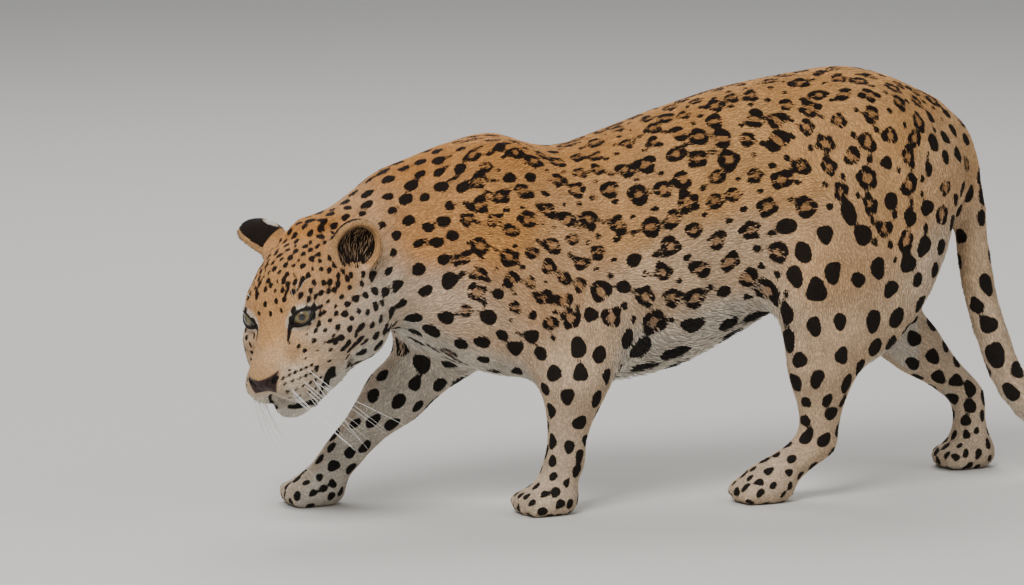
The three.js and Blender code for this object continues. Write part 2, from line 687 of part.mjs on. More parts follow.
const split = groove([onHead(214, 0, -4), onHead(212, 0, -17), onHead(208, 0, -30)], LIP_SPLIT_RADIUS);
let nose = largest(head.intersect(noseShare(1)));
head = head.subtract(noseShare(1 + GAP / 15));
for (const cut of [...nostrils, split]) {
  nose = nose.subtract(cut);
  head = head.subtract(cut);
}
addPiece("nose", largest(nose), leather);

// Eyes sit in round sockets behind almond openings, so that the flesh round them makes the lids.
const almond = new THREE.Shape();
almond.moveTo(-17, -4);
almond.quadraticCurveTo(-6, 19, 16, 3);
almond.quadraticCurveTo(6, -18, -17, -4);
for (const s of [1, -1]) {
  const look = gaze(s);
  const r = EYE_RADIUS * HEAD_SCALE;
  const out = HEAD.l.clone().multiplyScalar(s).addScaledVector(HEAD.u, 0.22);
  out.addScaledVector(look, -out.dot(look)).normalize();
  const up = new THREE.Vector3().crossVectors(look, out).multiplyScalar(s);
  const frame = new THREE.Matrix4().makeBasis(out.clone().multiplyScalar(s), up, look);
  frame.setPosition(eyeCentre(s));
  const opening = prism(almond, at(0, 0, 0), at(1, 0, 0), UP, 60)
    .scale([0.88 * s, 0.88, 1])
    .transform(frame.toArray());
  head = head.subtract(ball(eyeCentre(s), [r, r, r], headAxes, GAP)).subtract(opening);
  addPiece(s > 0 ? "eye_left" : "eye_right", ball(eyeCentre(s), [r, r, r], headAxes), iris);
}

// The line of the mouth dips under each whisker pad and rises to the corner.
const mouthPath = [[147, 37, -37], [165, 31, -45], [182, 22, -46], [196, 11, -40], [204, 0, -32]];
const mouth = [...mouthPath, ...mouthPath.slice(0, -1).reverse().map(([f, l, u]) => [f, -l, u])];
head = head.subtract(groove(mouth.map((p) => onHead(...p)), MOUTH_RADIUS));
const jawCut = [onHead(165, 0, -39), HEAD.u.clone().addScaledVector(HEAD.f, -0.08).negate()];
const jawBack = [onHead(128, 0, -40), HEAD.f.clone().addScaledVector(HEAD.u, -0.3)];
const jawShare = (grow) => {
  const under = sideOf(jawCut[0].clone().addScaledVector(HEAD.u, grow), jawCut[1]);
  return under.intersect(sideOf(jawBack[0].clone().addScaledVector(HEAD.f, -grow), jawBack[1]));
};
addPiece("lower_jaw", largest(head.intersect(jawShare(0))), paleCoat);
addPiece("head", largest(head.subtract(jawShare(GAP))), coat);

// Tail
const tailPart = (from, to) => {
  const cell = to === undefined ? CELLS.tailTip : CELLS.tail;
  const tail = solidOf(meshOf(bodyField, [340, -60, 10], [730, 60, 520], cell)).intersect(tailShare(0));
  const part = keep(tail, ...tailCuts[from]);
  return to === undefined ? part : keep(part, ...flip(tailCuts[to]));
};
addPiece("tail_root", largest(tailPart(0, 1)), coat);
addPiece("tail_middle", largest(tailPart(1, 2)), coat);
addPiece("tail_tip", largest(tailPart(2)), coat);

// Legs, each with its paw cut off above the ankle or wrist and meshed more finely
const legBoxes = {
  front_left: [[-300, -180, -20], [20, 0, 400], 62],
  front_right: [[-480, 0, -20], [-120, 160, 400], 62],
  hind_left: [[40, -180, -20], [440, 0, 520], 50],
  hind_right: [[200, 0, -20], [560, 180, 520], 58],
};
for (const [leg, [low, high, ankle]] of Object.entries(legBoxes)) {
  const cut = [at(0, 0, ankle), UP];
  const whole = solidOf(meshOf(bodyField, low, high, CELLS.leg)).intersect(share(leg, 0));
  addPiece(`${leg}_leg`, largest(keep(whole, ...cut)), coat);
  const fine = solidOf(meshOf(bodyField, low, [high[0], high[1], ankle + 20], CELLS.paw));
  addPiece(`${leg}_paw`, largest(keep(fine, ...flip(cut)).intersect(FLOOR)), paleCoat);
}

// The origin is put on the floor under the middle of the whole animal.
const bounds = new THREE.Box3().setFromObject(model);
for (const piece of model.children) {
  piece.geometry.translate(-(bounds.min.x + bounds.max.x) / 2, -(bounds.min.y + bounds.max.y) / 2, 0);
}

export default model;
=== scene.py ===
# %% [markdown]
# # A leopard in a stalking walk
# The figure is a life-size adult female leopard. Its solids are loaded first as a fixed frame.
# The render then gets one smooth skin over them, a coat of short fur, eyes and whiskers.

import math

import bmesh
import bpy
import numpy as np
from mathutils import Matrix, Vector
from mathutils.kdtree import KDTree


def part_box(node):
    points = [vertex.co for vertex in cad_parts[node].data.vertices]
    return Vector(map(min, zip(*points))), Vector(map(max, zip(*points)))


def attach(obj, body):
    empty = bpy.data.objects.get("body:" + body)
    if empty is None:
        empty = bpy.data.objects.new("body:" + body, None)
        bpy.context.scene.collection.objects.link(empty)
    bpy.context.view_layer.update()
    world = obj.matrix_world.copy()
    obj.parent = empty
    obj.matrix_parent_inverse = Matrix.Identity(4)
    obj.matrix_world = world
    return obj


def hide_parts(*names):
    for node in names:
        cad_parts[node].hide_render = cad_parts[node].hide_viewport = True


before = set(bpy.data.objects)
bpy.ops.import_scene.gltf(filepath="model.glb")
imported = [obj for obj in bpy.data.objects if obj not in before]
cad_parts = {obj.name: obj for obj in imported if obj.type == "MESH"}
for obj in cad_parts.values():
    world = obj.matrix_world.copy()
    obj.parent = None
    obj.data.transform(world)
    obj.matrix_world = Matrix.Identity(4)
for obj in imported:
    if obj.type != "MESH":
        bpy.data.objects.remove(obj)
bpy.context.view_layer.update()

# %% [markdown]
# ## The animal's measures
# All places on the animal are given in millimetres on one sheet. The head has a sheet of its
# own, with f towards the nose, l towards its left cheek and u towards the crown, because the
# head is turned and bowed and its marks are easier to name there. The left eye's solid says
# where the sheet's origin lies in the frame.

# %% Head frame
HEAD_SCALE = 1.11
HEAD_TURN = {"yaw": 43, "pitch": 27, "roll": -7}
OCCIPUT = np.array([-377.0, -15.0, 298.0])
EYE_PLACE = (137.0, 28.5, 34.0)


def turned(vector, axis, degrees):
    angle = math.radians(degrees)
    spun = vector * math.cos(angle) + np.cross(axis, vector) * math.sin(angle)
    return spun + axis * (axis @ vector) * (1 - math.cos(angle))


head_f, head_l, head_u = np.array([-1.0, 0, 0]), np.array([0, -1.0, 0]), np.array([0, 0, 1.0])
head_f, head_l = (turned(v, head_u, HEAD_TURN["yaw"]) for v in (head_f, head_l))
head_f, head_u = (turned(v, head_l, HEAD_TURN["pitch"]) for v in (head_f, head_u))
head_l, head_u = (turned(v, head_f, -HEAD_TURN["roll"]) for v in (head_l, head_u))
head_axes = np.array([head_f, head_l, head_u])


def on_head(f, l, u):
    """A place on the head's sheet, in the body sheet's millimetres."""
    return OCCIPUT + HEAD_SCALE * (np.array([f, l, u], float) @ head_axes)


eye_low, eye_high = (np.array(corner) * 1000 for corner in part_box("eye_left"))
SHIFT = (eye_low + eye_high) / 2 - on_head(*EYE_PLACE)
SHIFT[2] = 0
print("body sheet is shifted by", SHIFT.round(2), "mm")


def to_metres(points_mm):
    return (np.asarray(points_mm, float) + SHIFT) / 1000


def to_sheet(points_m):
    return np.asarray(points_m, float) * 1000 - SHIFT


def to_head(points_mm):
    """Body sheet millimetres to the head's own sheet."""
    return ((points_mm - OCCIPUT) @ head_axes.T) / HEAD_SCALE


# %% [markdown]
# ## The camera
# The photo was taken from the animal's left, a little from its front and slightly above, with
# a long lens. The camera stands nine metres away, and its lens follows from the scale of
# 1.22 mm for each pixel at the animal's middle.

# %% Camera
AZIMUTH, ELEVATION = math.radians(-18), math.radians(8)
DISTANCE, SCALE = 9.0, 0.00122
IMAGE_WIDTH, SENSOR = 1024, 36.0
TARGET = to_metres([-164.2, 0.0, 260.3])

level = math.cos(ELEVATION)
away = Vector((math.sin(AZIMUTH) * level, -math.cos(AZIMUTH) * level, math.sin(ELEVATION)))
bpy.ops.object.camera_add(location=Vector(TARGET) + away * DISTANCE)
camera = bpy.context.object
camera.rotation_euler = away.to_track_quat("Z", "Y").to_euler()
camera.data.sensor_width = SENSOR
camera.data.lens = SENSOR * DISTANCE / (IMAGE_WIDTH * SCALE)
camera.data.clip_end = 60
bpy.context.scene.camera = camera
print("lens:", round(camera.data.lens, 1), "mm")

# %% [markdown]
# ## The skin's base
# On the real animal one hide covers everything. The solids are cut into pieces, so copies of
# them are joined and remeshed into one closed surface, which drowns the thin gaps. A remesh is
# better here than welding, because it gives even faces that can be smoothed and shaped.


# %% Join copies of the solids and remesh them
def deselect():
    if bpy.context.object and bpy.context.object.mode != "OBJECT":
        bpy.ops.object.mode_set(mode="OBJECT")
    bpy.ops.object.select_all(action="DESELECT")


def pick(obj):
    deselect()
    obj.select_set(True)
    bpy.context.view_layer.objects.active = obj


def apply_modifier(obj, kind, **settings):
    pick(obj)
    modifier = obj.modifiers.new(kind.title(), kind)
    for name, value in settings.items():
        setattr(modifier, name, value)
    bpy.ops.object.modifier_apply(modifier=modifier.name)


VOXEL, WELD = 0.0046, 0.00001
flesh_nodes = list(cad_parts)
copies = []
deselect()
for name in flesh_nodes:
    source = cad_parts[name]
    copy = bpy.data.objects.new("copy_" + name, source.data.copy())
    bpy.context.collection.objects.link(copy)
    copy.select_set(True)
    copies.append(copy)
bpy.context.view_layer.objects.active = copies[0]
bpy.ops.object.join()
skin = bpy.context.object
skin.name = "skin"
skin.data.materials.clear()
bpy.ops.object.mode_set(mode="EDIT")
bpy.ops.mesh.select_all(action="SELECT")
bpy.ops.mesh.remove_doubles(threshold=WELD)
bpy.ops.object.mode_set(mode="OBJECT")
apply_modifier(skin, "REMESH", mode="VOXEL", voxel_size=VOXEL)
print("skin faces after the remesh:", len(skin.data.polygons))


# %% [markdown]
# ## Smoothing
# The solids are coarse, with facets a few centimetres wide on the trunk. Averaging each vertex
# with its neighbours many times takes them away. Thin parts shrink when they are averaged, so
# paws, ears and tail get only a little of it.


# %% Average neighbouring vertices
def coords(obj):
    co = np.empty(len(obj.data.vertices) * 3, np.float32)
    obj.data.vertices.foreach_get("co", co)
    return co.reshape(-1, 3).astype(float)


def set_coords(obj, co):
    obj.data.vertices.foreach_set("co", np.asarray(co, np.float32).ravel())
    obj.data.update()


def edge_pairs(obj):
    pairs = np.empty(len(obj.data.edges) * 2, np.int32)
    obj.data.edges.foreach_get("vertices", pairs)
    return pairs.reshape(-1, 2)


def averaged(co, pairs, strength, rounds):
    a, b = pairs[:, 0], pairs[:, 1]
    count = np.bincount(a, minlength=len(co)) + np.bincount(b, minlength=len(co))
    for _ in range(rounds):
        for axis in range(3):
            total = np.bincount(a, co[b, axis], len(co)) + np.bincount(b, co[a, axis], len(co))
            co[:, axis] += strength * (total / np.maximum(count, 1) - co[:, axis])
    return co


def smoothstep(low, high, value):
    t = np.clip((value - low) / (high - low), 0, 1)
    return t * t * (3 - 2 * t)


STRENGTH, ROUNDS = 0.6, 26
co = to_sheet(coords(skin))
on_tail = smoothstep(395, 425, co[:, 0]) * smoothstep(60, 40, np.abs(co[:, 1]))
on_paw = smoothstep(95, 60, co[:, 2])
head_place = to_head(co)
on_face = smoothstep(20, 45, head_place[:, 0]) * (co[:, 2] > 130)
strength = STRENGTH * (1 - 0.75 * on_tail) * (1 - 0.8 * on_paw) * (1 - 0.8 * on_face)
co = averaged(co, edge_pairs(skin), strength, ROUNDS)
set_coords(skin, to_metres(co))
print("smoothed", len(co), "vertices")

# %% [markdown]
# ## Finer faces on the head
# Lids, lips and nostrils need faces of one to two millimetres, which would be far too many over
# the whole animal, so only the head is divided, and its eyes and nose once more.


# %% Divide the head's faces
def divide(obj, wanted):
    """Splits the faces whose vertices are all wanted, given as a function of sheet coordinates."""
    deselect()
    chosen = wanted(to_sheet(coords(obj)))
    mesh = bmesh.new()
    mesh.from_mesh(obj.data)
    edges = [e for e in mesh.edges if chosen[e.verts[0].index] and chosen[e.verts[1].index]]
    bmesh.ops.subdivide_edges(mesh, edges=edges, cuts=1, use_grid_fill=True)
    mesh.to_mesh(obj.data)
    mesh.free()
    obj.data.update()


LOWEST_OF_HEAD = 130
EYE_REACH, EAR_REACH, NOSE_REACH = 27, 44, 34
EAR_CENTRES = [(46, 58, 58), (42, -58, 68)]
eye_spots = [on_head(EYE_PLACE[0] + 10, s * (EYE_PLACE[1] + 8), EYE_PLACE[2] + 2) for s in (1, -1)]
nose_spot = on_head(200, 0, -12)


def nearest_gap(p, places):
    """The distance from each point to the nearest of a few places."""
    return np.min([np.linalg.norm(p - place, axis=1) for place in places], axis=0)


def near_head(p):
    h = to_head(p)
    return (h[:, 0] > 22) & (p[:, 2] > LOWEST_OF_HEAD)


def near_features(p):
    near_eye = nearest_gap(p, eye_spots) < EYE_REACH
    near_ear = nearest_gap(p, [on_head(*centre) for centre in EAR_CENTRES]) < EAR_REACH
    return near_eye | near_ear | (nearest_gap(p, [nose_spot]) < NOSE_REACH)


divide(skin, near_head)
divide(skin, near_features)
print("skin faces:", len(skin.data.polygons))


# %% [markdown]
# ## The head's form
# A head is easier to describe than to push about vertex by vertex: egg and bar shapes for skull,
# cheeks, brows, muzzle and chin are blended into one field, and every vertex of the head moves
# to where the field is zero. The solids' head was made from the same sizes, so no vertex has
# far to go, and the lids, lips and nostrils come out finer than the solids have them.


# %% Fields for the head
def bar_field(a, ra, b, rb):
    a, b = np.asarray(a, float), np.asarray(b, float)

    def field(p):
        t = np.clip((p - a) @ (b - a) / ((b - a) @ (b - a)), 0, 1)[:, None]
        return np.linalg.norm(p - a - t * (b - a), axis=1) - (ra + t[:, 0] * (rb - ra))

    return field


def egg_field(centre, radii, axes=np.eye(3)):
    centre, radii = np.asarray(centre, float), np.asarray(radii, float)

    def field(p):
        q = ((p - centre) @ axes.T) / radii
        near = np.linalg.norm(q, axis=1)
        slope = np.linalg.norm(q / radii, axis=1)
        return near * (near - 1) / np.maximum(slope, 1e-6)

    return field


def blend(a, b, size):
    h = np.maximum(0, size - np.abs(a - b)) / size
    return np.minimum(a, b) - h * h * size / 4


def carve(a, b, size):
    return -blend(-a, b, size)


GAZE = np.array([0.8, 0.52, 0.3])
GAZE /= np.linalg.norm(GAZE)
EYE_RADIUS, LID = 15.5, 2.8
head_forms = [
    (egg_field((64, 0, 24), (70, 57, 62)), 0),
    (egg_field((110, 0, 32), (42, 43, 42)), 30),
    (egg_field((58, 0, -34), (60, 44, 36)), 30),
    (bar_field((118, 0, 10), 38, (186, 0, -2), 23), 24),
    (bar_field((72, 0, -42), 34, (162, 0, -52), 19), 22),
    (egg_field((175, 0, -52), (20, 18, 15)), 14),
    (egg_field((201, 0, -1), (12, 16, 12)), 10),
]
sockets, lids = [], []
for s in (1, -1):
    head_forms += [
        (egg_field((96, 46 * s, -2), (46, 25, 26)), 24),
        (egg_field((60, 42 * s, -22), (44, 28, 42)), 24),
        (egg_field((127, 25 * s, 51), (19, 14, 10)), 12),
        (egg_field((140, 36 * s, 10), (20, 15, 13)), 14),
        (egg_field((183, 17 * s, -17), (27, 18, 18)), 10),
        (bar_field((172, 22 * s, -20), 15, (132, 34 * s, -22), 17), 14),
        (egg_field((126, 37 * s, -12), (34, 20, 22)), 18),
        (egg_field((172, 23 * s, -32), (26, 15, 16)), 10),
        (egg_field((140, 29 * s, -50), (32, 19, 24)), 12),
    ]
    sockets.append(egg_field((158, 39 * s, 38), (15, 13, 15)))
    lids.append(egg_field((EYE_PLACE[0], s * EYE_PLACE[1], EYE_PLACE[2]), (EYE_RADIUS + LID,) * 3))


# %% [markdown]
# ## The ears
# An ear is a thin round cup. An egg that a smaller egg hollows from the front gives the cup, and
# a plane cut across its opening gives the rim.

# %% Ears as hollowed eggs
def unit(v):
    return np.asarray(v, float) / np.linalg.norm(v)


EAR_RADII = np.array([23.0, 28.0, 33.0])
EAR_WALL, EAR_HOLLOW, EAR_RIM = 4.6, 10, 8  # thickness, and where hollow and rim lie on the opening's axis


def ear_parts(centre, opening, tip):
    """An ear's centre on the head's sheet, its opening, side and tip axes and its radii."""
    t = unit(tip)
    o = unit(np.asarray(opening) - t * (np.asarray(opening) @ t))
    axes = np.array([o, np.cross(t, o), t])
    return np.array(centre, float), axes, EAR_RADII


ear_sheets = [
    ear_parts(EAR_CENTRES[0], (0.62, 0.76, 0.2), (-0.34, 0.42, 0.84)),
    ear_parts(EAR_CENTRES[1], (0.45, -0.67, -0.59), (-0.11, -0.81, 0.57)),
]


def ear_field(p, ear):
    centre, axes, radii = ear
    outer = egg_field(centre, radii, axes)(p)
    hollow = egg_field(centre + axes[0] * EAR_HOLLOW, radii - EAR_WALL, axes)(p)
    rim = (p - centre) @ axes[0] - EAR_RIM
    return carve(carve(outer, hollow, 3), -rim, 4)


print("ears:", [ear[0].astype(int).tolist() for ear in ear_sheets])

# %% Mouth, nostrils and the whole head's field
MOUTH_RADIUS = 2.0
MOUTH = [(144, 38, -44), (163, 33, -52), (181, 24, -53), (195, 11, -45), (203, 0, -34)]
mouth_line = []
for a, b in zip(MOUTH, MOUTH[1:]):
    for s in (1, -1):
        start, end = (a[0], s * a[1], a[2]), (b[0], s * b[1], b[2])
        mouth_line.append(bar_field(start, MOUTH_RADIUS, end, MOUTH_RADIUS))
nostrils = []
for s in (1, -1):
    nostrils.append(bar_field((196, 8.5 * s, -5), 3.0, (208, 9 * s, -5), 3.6))
    nostrils.append(bar_field((207, 10 * s, -5), 3.0, (201, 19 * s, 1), 2.0))
philtrum = bar_field((213, 0, -6), 1.3, (207, 0, -30), 1.3)


def head_field(p):
    d = head_forms[0][0](p)
    for form, size in head_forms[1:]:
        d = blend(d, form(p), size)
    for socket in sockets:
        d = carve(d, socket(p), 12)
    for lid in lids:
        d = blend(d, lid(p), 5)
    for ear in ear_sheets:
        d = blend(d, ear_field(p, ear), 11)
    for line in mouth_line:
        d = carve(d, line(p), 2.5)
    for hole in nostrils:
        d = carve(d, hole(p), 1.5)
    return carve(d, philtrum(p), 1.5)


def settled(p, field, rounds, reach):
    """Points moved down the field's slope onto its zero, no further than reach from their start."""
    start = p.copy()
    step = 0.25
    for _ in range(rounds):
        d = field(p)
        slope = np.stack([(field(p + step * e) - field(p - step * e)) / (2 * step) for e in np.eye(3)], 1)
        p = p - slope * (d / np.maximum((slope ** 2).sum(1), 0.05))[:, None]
        move = p - start
        far = np.linalg.norm(move, axis=1, keepdims=True)
        p = start + move * np.minimum(1, reach / np.maximum(far, 1e-9))
    return p


print("forms in the head:", len(head_forms) + len(sockets) + len(lids) + len(ear_sheets))

# %% Move the head's vertices onto the field
co = to_sheet(coords(skin))
pairs = edge_pairs(skin)
h = to_head(co)
on_head_part = (co[:, 0] < -300) & (co[:, 2] > LOWEST_OF_HEAD)
hold = smoothstep(24, 66, h[:, 0] - 0.25 * np.abs(h[:, 2])) * on_head_part
ear_gap = nearest_gap(h, [ear[0] + 8 * ear[1][2] for ear in ear_sheets])
hold = np.maximum(hold, smoothstep(50, 36, ear_gap) * on_head_part)
chosen = np.nonzero(hold > 0)[0]
for _ in range(3):
    target = settled(h[chosen], head_field, 4, 12)
    h[chosen] += (target - h[chosen]) * hold[chosen, None]
    relaxed = averaged(h.copy(), pairs, 0.5, 2)
    h[chosen] += (relaxed[chosen] - h[chosen]) * 0.5
target = settled(h[chosen], head_field, 3, 6)
h[chosen] += (target - h[chosen]) * hold[chosen, None]
co[chosen] = OCCIPUT + HEAD_SCALE * (h[chosen] @ head_axes)
set_coords(skin, to_metres(co))
print("shaped", len(chosen), "head vertices")

# %% [markdown]
# ## The hide's depth
# The solids reach to the tips of the coat. The hide lies under it, so every vertex sinks along
# its normal by the coat's depth there: least on ears, face and feet, most on the trunk.


# %% Sink the hide below the coat
def normals_of(obj):
    n = np.empty(len(obj.data.vertices) * 3, np.float32)
    obj.data.vertices.foreach_get("normal", n)
    return n.reshape(-1, 3).astype(float)


COAT_DEPTH, EAR_DEPTH, LEAST_HEIGHT = 3.2, 0.8, 0.3
co = to_sheet(coords(skin))
normal = normals_of(skin)
h = to_head(co)
face = smoothstep(40, 110, h[:, 0]) * (co[:, 2] > LOWEST_OF_HEAD)
ear_near = nearest_gap(h, [ear[0] for ear in ear_sheets]) < 42
depth = COAT_DEPTH * (1 - 0.8 * face) * (1 - 0.6 * smoothstep(90, 40, co[:, 2]))
depth[ear_near] = np.minimum(depth[ear_near], EAR_DEPTH)
co -= normal * depth[:, None]
co[:, 2] = np.maximum(co[:, 2], LEAST_HEIGHT)
print("hide sunk by", depth.min().round(1), "to", depth.max().round(1), "mm")

# %% [markdown]
# ## The openings of the eyes
# The lids leave an almond open, wider across than it is high, with its inner corner low. The
# hide inside that almond is pushed back behind the ball, so the lids' edge stays crisp.

# %% The lids' almond
eye_centres = {s: on_head(EYE_PLACE[0], s * EYE_PLACE[1], EYE_PLACE[2]) for s in (1, -1)}
EYE_MM = EYE_RADIUS * HEAD_SCALE


def eye_frame(s):
    """Out to the temple, up and the way the eye looks, for the left (1) or right (-1) eye."""
    look = unit(np.array([GAZE[0], GAZE[1] * s, GAZE[2]]) @ head_axes)
    out = head_l * s + 0.22 * head_u
    out = unit(out - look * (out @ look))
    up = np.cross(look, out) * s
    return out, up, look


def almond(t):
    """The lids' edge as (out, up) in millimetres, t from 0 to 1 round the eye."""
    corner_in, corner_out = np.array([-16.4, -4.6]), np.array([15.4, 3.0])
    top, bottom = np.array([-5.3, 15.0]), np.array([5.3, -15.4])
    start, middle, end = (corner_in, top, corner_out) if t < 0.5 else (corner_out, bottom, corner_in)
    k = (t * 2) % 1
    return (1 - k) ** 2 * start + 2 * k * (1 - k) * middle + k * k * end


LID_POINTS = 64
edge_of_lids = np.array([almond(i / LID_POINTS) for i in range(LID_POINTS)])


def inside_lids(flat):
    x, y = flat[:, 0], flat[:, 1]
    inside = np.zeros(len(flat), bool)
    for (x0, y0), (x1, y1) in zip(edge_of_lids, np.roll(edge_of_lids, -1, axis=0)):
        crosses = (y0 > y) != (y1 > y)
        inside ^= crosses & (x < (x1 - x0) * (y - y0) / (y1 - y0 if y1 != y0 else 1e-9) + x0)
    return inside


# %% Push the hide behind the eyeballs
BEHIND_BALL, OPENING_REACH = 3.5, 12
for s, centre in eye_centres.items():
    axes = np.array(eye_frame(s))
    local = (co - centre) @ axes.T
    far = np.linalg.norm(local, axis=1)
    opening = inside_lids(local[:, :2]) & (local[:, 2] > 0) & (far < EYE_MM + OPENING_REACH)
    ray = local / far[:, None]
    co[opening] = centre + (ray[opening] * (EYE_MM - BEHIND_BALL)) @ axes
    print("eye opening:", int(opening.sum()), "vertices")
set_coords(skin, to_metres(co))
pick(skin)
bpy.ops.object.shade_smooth()

# %% [markdown]
# ## The sheet of the coat
# Length, colour and spots of the fur change from place to place. A short table names places on
# the animal, and everything between two places is a blend of the nearest ones. Each row gives
# the spacing of the spots in millimetres, how often they are open rosettes, how white and how
# orange the ground colour is, and the fur's length in millimetres.

# %% Places of the coat
HEAD, BODY, LEG = "head", "body", "leg"
COAT = [
    # place, whose sheet, spacing, rosettes, pale, warm, length
    ((205, 0, 4), HEAD, 90, 0, 0.1, 0.2, 2.5),
    ((165, 0, 30), HEAD, 90, 0, 0.05, 0.45, 3),
    ((160, 35, 0), HEAD, 9, 0, 0.3, 0.25, 5),
    ((168, 24, 8), HEAD, 10, 0, 0.15, 0.35, 4),
    ((148, 0, 48), HEAD, 11, 0, 0.05, 0.6, 4),
    ((125, 14, 66), HEAD, 8.5, 0, 0.05, 0.65, 5),
    ((85, 18, 84), HEAD, 10, 0, 0.05, 0.8, 4.5),
    ((45, 0, 86), HEAD, 15, 0, 0, 0.95, 5.5),
    ((183, 28, -16), HEAD, 60, 0, 0.55, 0.2, 4),
    ((190, 14, -36), HEAD, 60, 0, 0.85, 0.05, 4),
    ((178, 0, -60), HEAD, 60, 0, 1, 0, 5.5),
    ((150, 30, -50), HEAD, 40, 0, 0.95, 0, 5.5),
    ((143, 44, 8), HEAD, 9, 0, 0.45, 0.3, 4),
    ((120, 62, -6), HEAD, 11, 0, 0.45, 0.3, 4.5),
    ((128, 54, 34), HEAD, 9, 0, 0.25, 0.5, 5),
    ((90, 68, -8), HEAD, 15, 0, 0.55, 0.25, 6),
    ((88, 52, 50), HEAD, 11, 0, 0.1, 0.7, 4.5),
    ((60, 70, -20), HEAD, 20, 0, 0.65, 0.2, 8),
    ((100, 50, -50), HEAD, 19, 0, 0.9, 0.1, 7),
    ((70, 0, -76), HEAD, 30, 0, 1, 0, 11),
    ((-290, 0, 425), BODY, 21, 0.05, 0, 1, 7.5),
    ((-290, 85, 350), BODY, 21, 0.1, 0.05, 0.9, 8),
    ((-290, 70, 265), BODY, 27, 0, 0.45, 0.5, 8.5),
    ((-290, 0, 212), BODY, 34, 0, 1, 0.1, 13),
    ((-195, 35, 452), BODY, 23, 0.5, 0, 0.9, 7),
    ((-215, 100, 350), BODY, 24, 0.85, 0, 0.75, 7.5),
    ((-150, 110, 280), BODY, 23, 0.75, 0.15, 0.45, 7),
    ((-225, 75, 215), BODY, 27, 0.2, 0.35, 0.45, 8),
    ((-200, 0, 158), BODY, 36, 0, 0.9, 0.1, 13),
    ((-90, 20, 445), BODY, 23, 0.6, 0, 0.75, 7),
    ((40, 20, 490), BODY, 25, 0.8, 0, 0.7, 7),
    ((200, 20, 525), BODY, 25, 0.85, 0, 0.6, 7),
    ((330, 20, 508), BODY, 25, 0.7, 0, 0.5, 7),
    ((-60, 112, 360), BODY, 28, 0.95, 0.05, 0.5, 7.5),
    ((60, 110, 400), BODY, 30, 1, 0.02, 0.45, 7.5),
    ((150, 98, 420), BODY, 30, 1, 0.02, 0.4, 7.5),
    ((-20, 110, 270), BODY, 33, 0.6, 0.3, 0.2, 8.5),
    ((90, 98, 300), BODY, 34, 0.6, 0.3, 0.2, 8.5),
    ((-30, 80, 190), BODY, 46, 0, 0.85, 0.05, 14),
    ((90, 60, 215), BODY, 46, 0, 0.85, 0.05, 14),
    ((-40, 0, 142), BODY, 48, 0, 1, 0, 16.5),
    ((100, 0, 185), BODY, 46, 0, 1, 0, 16.5),
    ((200, 0, 240), BODY, 40, 0, 1, 0, 13.5),
    ((300, 90, 460), BODY, 30, 0.85, 0.02, 0.4, 7),
    ((290, 115, 370), BODY, 30, 0.35, 0.08, 0.35, 7),
    ((205, 110, 300), BODY, 33, 0.05, 0.15, 0.3, 7),
    ((370, 85, 400), BODY, 27, 0.15, 0.15, 0.3, 7),
    ((360, 60, 290), BODY, 30, 0, 0.5, 0.15, 7.5),
    ((416, 0, 415), BODY, 25, 0.05, 0.1, 0.25, 6),
    ((440, 0, 290), BODY, 29, 0, 0.3, 0.15, 7),
    ((470, 0, 160), BODY, 34, 0, 0.4, 0.1, 8),
    ((600, 0, 70), BODY, 38, 0, 0.45, 0.05, 11),
    ((676, 0, 150), BODY, 34, 0, 0.45, 0.05, 12),
    ((-100, -88, 215), LEG, 29, 0.1, 0.3, 0.25, 6),
    ((-112, -88, 140), LEG, 27, 0, 0.4, 0.2, 5.5),
    ((-128, -84, 70), LEG, 20, 0, 0.45, 0.15, 4.5),
    ((-150, -84, 20), LEG, 15, 0, 0.5, 0.1, 4),
    ((-230, 78, 200), LEG, 30, 0, 0.6, 0.15, 6),
    ((-300, 72, 125), LEG, 27, 0, 0.6, 0.1, 5.5),
    ((-356, 70, 68), LEG, 20, 0, 0.6, 0.1, 4.5),
    ((-400, 70, 20), LEG, 15, 0, 0.6, 0.1, 4),
    ((215, -95, 190), LEG, 30, 0, 0.3, 0.2, 5.5),
    ((208, -84, 90), LEG, 22, 0, 0.35, 0.15, 5),
    ((130, -84, 20), LEG, 15, 0, 0.45, 0.1, 4),
    ((350, 90, 200), LEG, 32, 0, 0.5, 0.1, 5.5),
    ((440, 84, 120), LEG, 24, 0, 0.5, 0.1, 5),
    ((460, 84, 20), LEG, 15, 0, 0.5, 0.1, 4),
]


def coat_rows():
    places, values = [], []
    for place, sheet, *row in COAT:
        sides = (1, -1) if place[1] and sheet != LEG else (1,)
        for s in sides:
            f, l, u = place[0], place[1] * s, place[2]
            places.append(on_head(f, l, u) if sheet == HEAD else np.array([f, l, u], float))
            values.append(row)
    return np.array(places), np.array(values, float)


coat_places, coat_values = coat_rows()
CHUNK = 20000


def coat_at(p):
    """Spacing, rosette share, pale, warm and length of the coat at sheet points."""
    result = np.empty((len(p), coat_values.shape[1]))
    for start in range(0, len(p), CHUNK):
        part = p[start : start + CHUNK]
        square = ((part[:, None, :] - coat_places[None]) ** 2).sum(2) + 60
        weight = square ** -2.2
        result[start : start + CHUNK] = weight @ coat_values / weight.sum(1, keepdims=True)
    return result


print("places in the coat's table:", len(coat_places))

# %% [markdown]
# ## The lie of the coat
# Fur runs from the nose back over the head, along the trunk, and down each leg. Lines from joint
# to joint give that direction: near a line the fur runs along it, and between lines it turns
# smoothly from one to the other.

